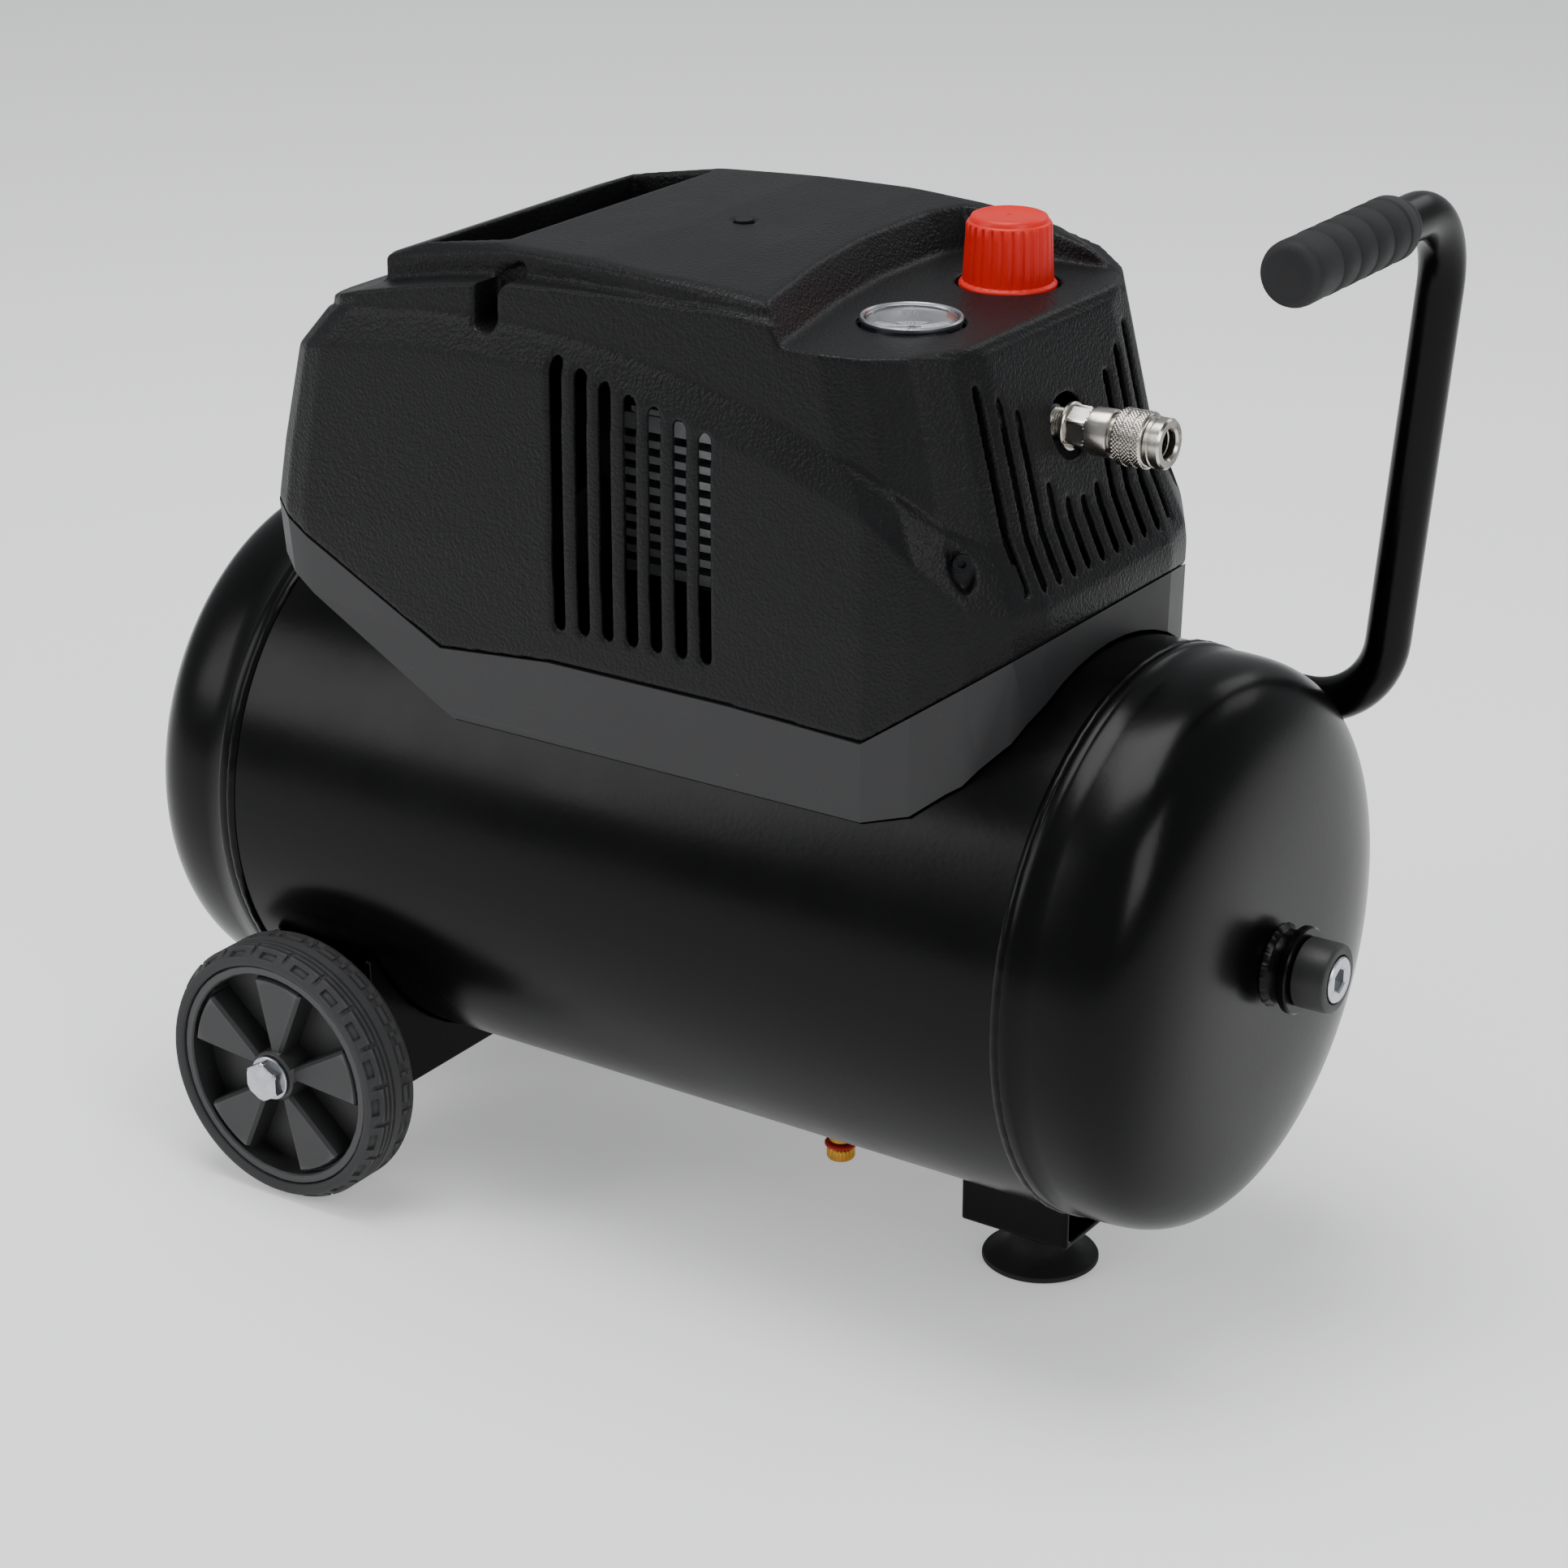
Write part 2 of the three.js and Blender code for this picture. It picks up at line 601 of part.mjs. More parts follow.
function buildControls() {
  const [kx, ky] = KNOB;
  const grip = tapered(plate(tooth(18, 19.4, 1), 262.4, 289.5, 'z'), 262.4, 289.5, 0.9).translate(kx, ky, 0);
  const flange = rod(21, 260, 263, 28, 'z', [kx, ky, 0]);
  const crown = ring(13, 16.8, 289, 291, 24, 'z', [kx, ky, 0]);
  put('regulator_knob', join(grip, flange, crown), 'red');
  const arm = join(
    rod(14, 209, 258.7, 32, 'z', [kx, ky, 0]),
    box(kx - 8, kx + 8, -45, ky, 209, 225),
    rod(8, kx, 152, 24, 'x', [0, 0, COUPLER_Z]),
  );
  put('regulator_body', arm, 'alloy');

  const [gx, gy] = GAUGE;
  const cup = [
    [0, 225.3], [5, 225.3], [5, 243], [20.6, 243], [20.6, 262], [21.4, 262.6], [21.4, 264.6],
    [19.2, 264.6], [19.2, 256], [0, 256],
  ];
  put('gauge_case', turned(cup, 28, 'z', [gx, gy, 0]), 'zinc');
  put('gauge_dial', ring(1.9, 18.8, 256.3, 257.1, 28, 'z', [gx, gy, 0]), 'white');
  const needle = join(rod(1.5, 256.4, 259, 16, 'z', [0, 0, 0]), box(-4, 15, -0.6, 0.6, 257.8, 258.6));
  put('gauge_needle', needle.rotateZ((-135 * Math.PI) / 180).translate(gx, gy, 0), 'dark');
  const lens = [[0, 261.6], [18.9, 261.6], [18.9, 263.6], [13, 265.4], [6, 266.3], [0, 266.6]];
  put('gauge_lens', turned(lens, 28, 'z', [gx, gy, 0]), 'clear');
}

function buildCoupler() {
  const at = [0, 0, COUPLER_Z];
  const body = join(
    rod(7, 152.3, 160.2, 28, 'x', at),
    rod(10.4, 159.8, 161.6, 28, 'x', at),
    plate(hexagon(17), 161.4, 170.6, 'x').translate(0, 0, COUPLER_Z),
    rod(9.5, 170.4, 182, 28, 'x', at),
    rod(8.5, 181.8, 199, 24, 'x', at),
    rod(10.7, 198.8, 206.5, 28, 'x', at),
  );
  put('coupler_body', cut(body, rod(6.3, 176, 220, 24, 'x', at)), 'nickel');
  const sleeve = [
    [8.8, 184.6], [11.4, 184.6], [12.1, 185.4], [12.1, 188.4], [11.4, 189], [12.1, 189.6], [12.1, 193],
    [11.4, 193.6], [12.1, 194.2], [12.1, 197.6], [11.4, 198.4], [8.8, 198.4], [8.8, 184.6],
  ];
  put('coupler_sleeve', turned(sleeve, 28, 'x', at), 'nickel');
}

// ---- pump set under the hood ----
function buildMotor() {
  const at = [0, 0, MOTOR_Z];
  let saddle = join(
    box(-112, 66, -52, 52, 128.6, 131.6),
    box(-112, 66, -52, -49, 100, 131.6),
    box(-112, 66, 49, 52, 100, 131.6),
  );
  saddle = cut(saddle, rod(TANK_R + 0.6, -300, 300, 48, 'x', [0, 0, 0]));
  put('pump_saddle', saddle, 'paint');
  put('motor_housing', ring(46, 50, -118, CYL_X - 42, 32, 'x', at), 'dark');
  put('motor_stator', ring(28, 45.6, -100, -40, 24, 'x', at), 'alloy');
  let bell = ring(8, 50, -121.3, -118.3, 32, 'x', at);
  for (let k = 0; k < 4; k += 1) {
    const a = (k * Math.PI) / 2;
    bell = cut(bell, rod(10, -130, -110, 10, 'x', [0, 30 * Math.cos(a), MOTOR_Z + 30 * Math.sin(a)]));
  }
  put('motor_end_bell', bell, 'dark');
  const shaft = join(
    rod(6, -150, CYL_X - 10, 12, 'x', at),
    rod(27, -98, -42, 20, 'x', at),
    rod(16, CYL_X - 14, CYL_X - 6, 16, 'x', at),
    rod(4, CYL_X - 7, CYL_X + 8, 16, 'x', [0, 0, MOTOR_Z - 8]),
  );
  put('motor_shaft', shaft, 'zinc');
  let fan = ring(6.3, 13, -146, -128, 20, 'x', at);
  for (let k = 0; k < 7; k += 1) {
    const blade = box(-8, 8, 11, 43, -0.9, 0.9);
    blade.rotateY(-0.7).rotateX((k * Math.PI * 2) / 7).translate(-137, 0, MOTOR_Z);
    fan = join(fan, blade);
  }
  put('cooling_fan', fan, 'dark');
  put('motor_capacitor', rod(17, -104, -40, 28, 'x', [0, -66, 156]), 'white');
}

function buildPump() {
  const x0 = CYL_X - 41.6;
  const x1 = CYL_X + 36;
  const grooves = (z0, z1, depth) => {
    const out = [];
    for (let z = z0; z < z1; z += 7) {
      out.push(box(x0 - 5, x1 + 5, -70, -CASE_Y + depth, z, z + 3.6));
      out.push(box(x0 - 5, x1 + 5, CASE_Y - depth, 70, z, z + 3.6));
    }
    return out;
  };
  const crankcase = cut(
    box(x0, x1, -CASE_Y, CASE_Y, 132, 204),
    rod(6.6, x0 - 5, CYL_X - 32, 24, 'x', [0, 0, MOTOR_Z]),
    rod(27, CYL_X - 32.5, x1 + 5, 32, 'x', [0, 0, MOTOR_Z]),
    rod(25.3, MOTOR_Z, 210, 32, 'z', [CYL_X, 0, 0]),
    ...grooves(137, 200, 12),
  );
  put('crankcase', crankcase, 'alloy');
  const barrel = cut(
    box(CYL_X - 38, CYL_X + 36, -CASE_Y, CASE_Y, 204.3, 228),
    rod(25.3, 200, 230, 32, 'z', [CYL_X, 0, 0]),
    ...grooves(207, 226, 14),
  );
  put('cylinder_barrel', barrel, 'alloy');
  const ribs = [];
  for (let y = -32; y < 30; y += 9) ribs.push(box(CYL_X - 50, CYL_X + 50, y, y + 5, 241, 260));
  put('cylinder_head', cut(box(CYL_X - 36, CYL_X + 34, -37, 37, 228.3, 250), ...ribs), 'alloy');
  const piston = join(
    rod(24.9, 209, 220, 32, 'z', [CYL_X, 0, 0]),
    rod(4, 203, 209.5, 16, 'z', [CYL_X, 0, 0]),
  );
  put('piston', piston, 'alloy');
  put('intake_filter', rod(12, CYL_X + 34.3, CYL_X + 54, 28, 'x', [0, 6, 240]), 'dark');
}

function buildPlumbing() {
  const route = [
    [CYL_X + 34.4, -26, 237], [CYL_X + 46, -26, 237], [82, -26, 224], [87, -27, 203], [102, -29, 187],
    [116, -30, 178], [118, -30, 166], [118, -30, 151],
  ];
  put('delivery_pipe', bent(route, 4, 4, 22), 'brass');
  const valve = join(
    rod(7.4, 108, 124, 20, 'z', [118, -30, 0]),
    plate(hexagon(19), 126.5, 150.6, 'z').translate(118, -30, 0),
    rod(9, 123.5, 127, 20, 'z', [118, -30, 0]),
  );
  put('check_valve', valve, 'brass');
  const block = cut(
    box(100, 136, 12, 40, 112, 150),
    rod(TANK_R + 0.6, -300, 300, 48, 'x', [0, 0, 0]),
  );
  put('outlet_manifold', block, 'alloy');
  put('pressure_switch', box(92, 144, 3, 60, 150.3, 204), 'dark');
  const valveAt = [118, 0, 138];
  put('safety_valve', ring(3, 7.5, 40.3, 58, 24, 'y', valveAt), 'brass');
  const pin = join(rod(2.6, 44, 64, 16, 'y', valveAt), ring(4, 6, -1, 1, 20, 'x', [118, 68.5, 138]));
  put('safety_pull', pin, 'zinc');
  const gland = [
    [3.8, 100], [6.7, 100], [6.7, 107.2], [10, 107.2], [10, 110.5],
    [7.5, 111], [6.5, 118], [3.8, 118], [3.8, 100],
  ];
  put('cable_gland', turned(gland, 24, 'y', [-40, 0, GLAND_Z]), 'dark');
}

function buildFasteners() {
  const head = (x, z, y0, y1) => {
    const socket = plate(hexagon(3), y1 - 1.6, y1 + 2, 'y').translate(x, 0, z);
    return cut(rod(3.9, y0, y1, 20, 'y', [x, 0, z]), socket);
  };
  for (const [side, tag] of [[-1, 'front'], [1, 'rear']]) {
    const onCorner = head(0, 181.5, -5.2, -2).rotateZ(-0.72).translate(162.2, 88, 0);
    put(`hood_screw_left_${tag}`, head(-65.5, 256, 85.3, 88.5).scale(1, side, 1), 'zinc');
    put(`hood_screw_right_${tag}`, onCorner.scale(1, side, 1), 'zinc');
  }
}

buildTank();
buildDrain();
buildWheels();
buildFoot();
buildHandle();
buildHood();
buildControls();
buildCoupler();
buildMotor();
buildPump();
buildPlumbing();
buildFasteners();
export default group;
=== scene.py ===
import json
import math
import bpy
import bmesh
from mathutils import Matrix, Vector


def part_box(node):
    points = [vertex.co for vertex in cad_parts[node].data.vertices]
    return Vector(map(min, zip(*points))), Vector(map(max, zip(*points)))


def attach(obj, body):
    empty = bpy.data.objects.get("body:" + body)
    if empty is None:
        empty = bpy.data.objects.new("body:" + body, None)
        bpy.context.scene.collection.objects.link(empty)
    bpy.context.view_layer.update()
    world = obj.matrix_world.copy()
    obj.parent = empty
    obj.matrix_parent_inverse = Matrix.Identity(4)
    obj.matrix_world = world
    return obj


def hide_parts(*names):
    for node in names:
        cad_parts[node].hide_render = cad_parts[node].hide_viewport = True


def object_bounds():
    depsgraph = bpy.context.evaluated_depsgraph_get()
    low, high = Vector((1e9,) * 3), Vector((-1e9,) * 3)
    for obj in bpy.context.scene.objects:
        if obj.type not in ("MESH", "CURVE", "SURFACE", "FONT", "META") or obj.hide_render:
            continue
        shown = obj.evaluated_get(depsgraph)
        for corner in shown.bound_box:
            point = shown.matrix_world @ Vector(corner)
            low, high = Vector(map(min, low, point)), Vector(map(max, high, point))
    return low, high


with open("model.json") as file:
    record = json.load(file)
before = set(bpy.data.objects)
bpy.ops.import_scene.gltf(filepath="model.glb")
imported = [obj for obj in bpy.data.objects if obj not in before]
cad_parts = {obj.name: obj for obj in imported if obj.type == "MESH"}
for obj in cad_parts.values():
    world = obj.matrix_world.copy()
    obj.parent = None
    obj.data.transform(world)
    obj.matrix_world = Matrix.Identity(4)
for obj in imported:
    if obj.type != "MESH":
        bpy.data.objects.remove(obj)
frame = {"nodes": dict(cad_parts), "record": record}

# A wheeled air compressor: moulded hood, painted tank, wheels, handle and fittings, finished over the frame.
MM = 0.001
TAU = 2 * math.pi
X, Y, Z = Vector((1, 0, 0)), Vector((0, 1, 0)), Vector((0, 0, 1))
cad_low, cad_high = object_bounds()
nodes = frame["nodes"]
body_of = {node: body for body, members in frame["record"]["behaviour"]["bodies"].items() for node in members}


# ---- making pieces ----
def middle(node):
    low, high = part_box(node)
    return (low + high) / 2


def half(node):
    """Half the node's size along x, y and z, in mm."""
    low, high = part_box(node)
    return (high - low) / 2 / MM


def stand(node, along=Z):
    """The middle of the node's first end along an axis, then its length and half width across it, in mm."""
    low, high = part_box(node)
    centre = (low + high) / 2
    size = (high - low) / MM
    base = centre + along * (low - centre).dot(along)
    return base, size.dot(along), (size.z if along == X else size.x) / 2


def piece(name, mesh, stands_for, sharp=38, beside=None):
    """Turns a bmesh into an object that rides with the nodes it stands for, or with a node it lies beside."""
    bmesh.ops.remove_doubles(mesh, verts=mesh.verts, dist=1e-6)
    bmesh.ops.dissolve_degenerate(mesh, edges=mesh.edges, dist=1e-7)
    bmesh.ops.recalc_face_normals(mesh, faces=mesh.faces)
    data = bpy.data.meshes.new(name)
    mesh.to_mesh(data)
    mesh.free()
    data.shade_smooth()
    data.set_sharp_from_angle(angle=math.radians(sharp))
    made = bpy.data.objects.new(name, data)
    bpy.context.scene.collection.objects.link(made)
    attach(made, body_of[beside or stands_for[0]])
    if stands_for:
        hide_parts(*stands_for)
    return made


def skin(mesh, rings, loop=True, closed=True):
    """Faces between neighbouring rings of points; loop joins the last ring to the first."""
    placed = [[mesh.verts.new(point) for point in ring] for ring in rings]
    count = len(placed[0])
    for k in range(len(placed) if loop else len(placed) - 1):
        here, after = placed[k], placed[(k + 1) % len(placed)]
        for j in range(count if closed else count - 1):
            n = (j + 1) % count
            mesh.faces.new([here[j], after[j], after[n], here[n]])


def turned(mesh, profile, at, along, across, steps=96, closed=False):
    """Turns profile(angle), a list of (radius, height) in mm, round the axis `along` through `at`."""
    up = along.cross(across)
    rings = []
    for k in range(steps):
        angle = TAU * k / steps
        out = across * math.cos(angle) + up * math.sin(angle)
        rings.append([at + (along * h + out * r) * MM for r, h in profile(angle)])
    skin(mesh, rings, True, closed)


def lathe(name, profile, at, along, across, stands_for, steps=96, closed=False, sharp=38):
    mesh = bmesh.new()
    shape = profile if callable(profile) else (lambda angle: profile)
    turned(mesh, shape, at, along, across, steps, closed)
    return piece(name, mesh, stands_for, sharp)


def six_sided(flat, angle):
    """Radius of a hexagon with that half distance across its flats."""
    return flat / math.cos((angle + math.pi / 6) % (math.pi / 3) - math.pi / 6)


def rounded_path(corners, radius):
    """A path through the corners, each turned with an arc of that radius."""
    steps = 14
    points = [corners[0]]
    for before, corner, after in zip(corners, corners[1:], corners[2:]):
        back, on = (before - corner).normalized(), (after - corner).normalized()
        angle = back.angle(on)
        reach = radius / math.tan(angle / 2)
        centre = corner + (back + on).normalized() * (radius / math.sin(angle / 2))
        start, end = corner + back * reach - centre, corner + on * reach - centre
        sweep = start.angle(end)
        for k in range(steps + 1):
            a, b = math.sin(sweep * (1 - k / steps)), math.sin(sweep * k / steps)
            points.append(centre + (start * a + end * b) / math.sin(sweep))
    return points + [corners[-1]]


def swept(mesh, path, radius):
    """A round bar along a path, closed at both ends."""
    sides = 36
    across = None
    rings = []
    for k, point in enumerate(path):
        forward = (path[min(k + 1, len(path) - 1)] - path[max(k - 1, 0)]).normalized()
        across = across or (Z if abs(forward.z) < 0.9 else Y)
        across = (across - forward * across.dot(forward)).normalized()
        up = forward.cross(across)
        ring = [point + (across * math.cos(TAU * j / sides) + up * math.sin(TAU * j / sides)) * radius
                for j in range(sides)]
        rings.append(ring)
    rings = [[path[0]] * sides] + rings + [[path[-1]] * sides]
    skin(mesh, rings, False, True)


def eased(node, grid_mm, passes):
    """Rounds a moulded or pressed part's edges: an even mesh of that grid, then smoothed."""
    part = nodes[node]
    part.modifiers.new("weld", "WELD").merge_threshold = 1e-5
    grid = part.modifiers.new("grid", "REMESH")
    grid.mode = "VOXEL"
    grid.voxel_size = grid_mm * MM
    grid.use_smooth_shade = True
    smooth = part.modifiers.new("ease", "SMOOTH")
    smooth.factor = 0.5
    smooth.iterations = passes
    return part


def bevelled(part, width_mm):
    """Takes the sharpness off edges of more than 40 degrees."""
    bevel = part.modifiers.new("edges", "BEVEL")
    bevel.width = width_mm * MM
    bevel.segments = 2
    bevel.limit_method = "ANGLE"
    bevel.angle_limit = math.radians(40)
    return bevel


# ---- finishes ----
def linear(code):
    """sRGB hex to linear colour."""
    parts = [int(code[k:k + 2], 16) / 255 for k in (1, 3, 5)]
    return tuple(c / 12.92 if c <= 0.04045 else ((c + 0.055) / 1.055) ** 2.4 for c in parts) + (1.0,)


def add(tree, kind, settings=None, **sockets):
    """Adds a node: settings are its own properties, sockets are values or links by input name."""
    made = tree.nodes.new(kind)
    for key, value in (settings or {}).items():
        setattr(made, key, value)
    for key, value in sockets.items():
        socket = made.inputs[int(key[1:])] if key[1:].isdigit() else made.inputs[key.replace("_", " ")]
        if isinstance(value, bpy.types.NodeSocket):
            tree.links.new(value, socket)
        else:
            socket.default_value = value
    return made


def surface(name, **sockets):
    """A new material and its shader, with the finish's own constants."""
    made = bpy.data.materials.new(name)
    made.use_nodes = True
    shader = made.node_tree.nodes["Principled BSDF"]
    for key, value in sockets.items():
        shader.inputs[key.replace("_", " ")].default_value = value
    return made, made.node_tree, shader


def per_metre(size_mm):
    """Noise scale for a pattern of that size."""
    return 1 / (size_mm * MM)


def dress(tree, shader, colour, worn_and_sheen, dust, grain_mm, depth_mm, rough, patch_mm=45, rub_and_sheen_from=0.53, rub_and_sheen=0.6,
          stretch=(1, 1, 1), detail=3.0):
    """What every worked surface shares: cloudy tone, dust, convex edges painted paler as rubbed wear and
    painted highlight, grain relief and uneven gloss.
    """
    place = add(tree, "ShaderNodeTexCoord").outputs["Object"]
    spread = add(tree, "ShaderNodeMapping", None, Vector=place, Scale=stretch).outputs[0]
    cloud = add(tree, "ShaderNodeTexNoise", None, Vector=place, Scale=per_metre(patch_mm), Detail=4.0,
                Roughness=0.6).outputs["Fac"]
    grain = add(tree, "ShaderNodeTexNoise", None, Vector=spread, Scale=per_metre(grain_mm), Detail=detail,
                Roughness=0.55).outputs["Fac"]
    # rubbed wear and painted highlight: convex edges (pointiness) are mixed toward the paler worn colour
    edge = add(tree, "ShaderNodeNewGeometry").outputs["Pointiness"]
    speck = add(tree, "ShaderNodeTexNoise", None, Vector=place, Scale=per_metre(2.2),
                Detail=2.0).outputs["Fac"]
    tone = linear(colour)
    layers = [(cloud, 0.35, 0.7, 0.55, dust), (grain, 0.42, 0.62, 0.28, dust), (speck, 0.72, 0.8, 0.35, worn_and_sheen),
              (edge, rub_and_sheen_from, rub_and_sheen_from + 0.08, rub_and_sheen, worn_and_sheen)]
    for value, low, high, most, over in layers:
        amount = add(tree, "ShaderNodeMapRange", None, Value=value, From_Min=low, From_Max=high, To_Max=most)
        tone = add(tree, "ShaderNodeMix", {"data_type": "RGBA"}, i0=amount.outputs[0], i6=tone,
                   i7=linear(over)).outputs[2]
    tree.links.new(tone, shader.inputs["Base Color"])
    gloss = add(tree, "ShaderNodeMapRange", None, Value=cloud, From_Min=0.3, From_Max=0.7, To_Min=rough[0],
                To_Max=rough[1])
    tree.links.new(gloss.outputs[0], shader.inputs["Roughness"])
    bump = add(tree, "ShaderNodeBump", None, Strength=1.0, Distance=depth_mm * MM, Height=grain)
    tree.links.new(bump.outputs["Normal"], shader.inputs["Normal"])


def tank_enamel():
    """Black stoving enamel on pressed steel: deep gloss with a faint orange peel and a little dust."""
    made, tree, shader = surface("tank_enamel", IOR=1.5, Specular_IOR_Level=0.12)
    dress(tree, shader, "#040404", "#161617", "#070707", 2.6, 0.03, (0.2, 0.28), 60, 0.55, 0.25)
    return made


def hood_shell():
    """Black ABS from a spark-eroded mould: leather-like pebble that scatters the light, edges painted paler
    as rubbed wear and painted highlight.

    The pebble is really about 0.6 mm across; it is drawn at 1.5 mm so that it still reads from 2 m away."""
    made, tree, shader = surface("hood_textured_abs", IOR=1.53, Specular_IOR_Level=0.14)
    dress(tree, shader, "#0d0d0e", "#343435", "#161617", 1.5, 0.42, (0.36, 0.46), 70, 0.54, 0.5, detail=1.0)
    return made


def skirt_shell():
    """Grey-black ABS from a satin mould: smoother and a touch paler than the hood, faint flow clouding."""
    made, tree, shader = surface("skirt_satin_abs", IOR=1.53, Specular_IOR_Level=0.3)
    dress(tree, shader, "#262627", "#454546", "#2c2c2d", 0.8, 0.05, (0.45, 0.55), 60, 0.54, 0.4)
    return made


def hub_plastic():
    """Black polypropylene, moulded: waxy satin with rib edges painted paler as rubbed wear and painted
    highlight.
    """
    made, tree, shader = surface("hub_polypropylene", IOR=1.49, Specular_IOR_Level=0.4)
    dress(tree, shader, "#252526", "#5b5b5d", "#2d2d2e", 1.1, 0.05, (0.38, 0.5), 30, 0.54, 0.6)
    return made


def tyre_rubber():
    """Grey-black solid rubber, moulded: dry and matt, greyed by dust in the tread."""
    made, tree, shader = surface("tyre_rubber", IOR=1.52, Specular_IOR_Level=0.3)
    dress(tree, shader, "#29292a", "#505051", "#343435", 0.7, 0.07, (0.62, 0.78), 22, 0.53, 0.5)
    return made


def grip_rubber():
    """Soft grey thermoplastic rubber, dipped: powdery matt skin with scuffs, the ridges painted paler as
    rubbed wear and painted highlight.
    """
    made, tree, shader = surface("grip_soft_rubber", IOR=1.5, Specular_IOR_Level=0.15)
    dress(tree, shader, "#232324", "#4d4d4e", "#2c2c2d", 0.8, 0.06, (0.6, 0.75), 18, 0.53, 0.6)
    return made


def foot_rubber():
    """Black vulcanised rubber: matt, with a brownish bloom of dust."""
    made, tree, shader = surface("foot_black_rubber", IOR=1.52, Specular_IOR_Level=0.25)
    dress(tree, shader, "#161617", "#3a3a39", "#1e1e1e", 0.9, 0.06, (0.6, 0.75), 16, 0.53, 0.4)
    return made


def knob_red():
    """Red moulded acetal: soft gloss, light just under the skin, the flutes painted brighter as rubbed wear
    and painted highlight.
    """
    made, tree, shader = surface("knob_red_acetal", IOR=1.48, Specular_IOR_Level=0.3, Subsurface_Weight=0.12,
                                 Subsurface_Scale=0.002)
    shader.inputs["Subsurface Radius"].default_value = (1.0, 0.25, 0.15)
    dress(tree, shader, "#d2140a", "#e23a28", "#cf1e12", 1.0, 0.03, (0.36, 0.46), 14, 0.54, 0.4)
    return made


def zinc_plate():
    """Bright zinc plate on turned steel: cool silver with cloudy passivation."""
    made, tree, shader = surface("zinc_plate", Metallic=1.0)
    dress(tree, shader, "#b9bcc0", "#e4e6e8", "#9ea2a8", 0.6, 0.012, (0.24, 0.4), 6, 0.54, 0.5)
    return made


def nickel_plate():
    """Nickel plate on turned brass: warm silver with fine turning lines and tiny pits."""
    made, tree, shader = surface("nickel_plate", Metallic=1.0)
    dress(tree, shader, "#c3bfb6", "#efece5", "#a9a49a", 0.5, 0.012, (0.16, 0.28), 5, 0.54, 0.5, (14, 1, 1))
    return made


def turned_brass():
    """Bare turned brass: yellow with fine rings of the tool and a browner tarnish in patches."""
    made, tree, shader = surface("turned_brass", Metallic=1.0)
    dress(tree, shader, "#d09a3c", "#f4cf7c", "#a97426", 0.5, 0.012, (0.26, 0.4), 5, 0.54, 0.5, (1, 1, 10))
    return made


def cast_aluminium():
    """Die-cast aluminium: dull silver, finely pitted."""
    made, tree, shader = surface("cast_aluminium", Metallic=1.0)
    dress(tree, shader, "#a7a9ab", "#d9dadb", "#85878a", 1.2, 0.05, (0.4, 0.56), 12, 0.54, 0.5)
    return made


def black_oxide():
    """Screw steel coloured near black as painted shade of the deep slots the screws sit in, with a dull metal
    sheen.
    """
    made, tree, shader = surface("screw_steel_painted_shade", Metallic=1.0)
    dress(tree, shader, "#1b1b1d", "#47474a", "#242426", 0.6, 0.015, (0.4, 0.5), 5, 0.54, 0.5)
    return made


def seal_red():
    """Red fibre washer: matt, slightly fuzzy."""
    made, tree, shader = surface("red_fibre_seal", IOR=1.5, Specular_IOR_Level=0.3)
    dress(tree, shader, "#b41512", "#d2453c", "#9c100e", 0.6, 0.05, (0.55, 0.7), 5, 0.53, 0.4)
    return made


def black_moulding():
    """Black glass-filled nylon: matt with a faint grain."""
    made, tree, shader = surface("black_nylon", IOR=1.53, Specular_IOR_Level=0.4)
    dress(tree, shader, "#121213", "#333334", "#19191a", 0.8, 0.05, (0.45, 0.6), 20, 0.54, 0.5)
    return made


def dial_paper():
    """White enamelled dial: smooth satin, slightly greyed."""
    made, tree, shader = surface("dial_white_enamel", IOR=1.5, Specular_IOR_Level=0.4)
    dress(tree, shader, "#dedfdd", "#f2f2f0", "#cdcecb", 1.0, 0.01, (0.35, 0.45), 9, 0.56, 0.2)
    return made


def print_black():
    """Black screen print: thin, satin."""
    made, tree, shader = surface("dial_black_print", IOR=1.5, Specular_IOR_Level=0.3)
    dress(tree, shader, "#1a1a1b", "#2c2c2d", "#202021", 0.7, 0.01, (0.5, 0.6), 6, 0.56, 0.2)
    return made


def lens_plastic():
    """Clear polycarbonate lens: sharp reflections, light scuffs, slightly grey."""
    made, tree, shader = surface("lens_polycarbonate", IOR=1.35, Transmission_Weight=0.97)
    shader.inputs["Base Color"].default_value = linear("#f1f3f3")
    place = add(tree, "ShaderNodeTexCoord").outputs["Object"]
    scuff = add(tree, "ShaderNodeTexNoise", None, Vector=place, Scale=per_metre(3), Detail=6.0).outputs["Fac"]
    gloss = add(tree, "ShaderNodeMapRange", None, Value=scuff, From_Min=0.5, From_Max=0.8, To_Min=0.02,
                To_Max=0.1)
    tree.links.new(gloss.outputs[0], shader.inputs["Roughness"])
    return made


def studio_floor():
    """Seamless white paper."""
    made, tree, shader = surface("studio_paper", IOR=1.45, Specular_IOR_Level=0.1, Roughness=0.9)
    place = add(tree, "ShaderNodeTexCoord").outputs["Object"]
    cloud = add(tree, "ShaderNodeTexNoise", None, Vector=place, Scale=3.0).outputs["Fac"]
    tone = add(tree, "ShaderNodeMix", {"data_type": "RGBA"}, i0=cloud, i6=linear("#f4f4f4"),
               i7=linear("#f7f7f7"))
    tree.links.new(tone.outputs[2], shader.inputs["Base Color"])
    shader.inputs["Emission Color"].default_value = linear("#ffffff")
    shader.inputs["Emission Strength"].default_value = 0.3
    return made


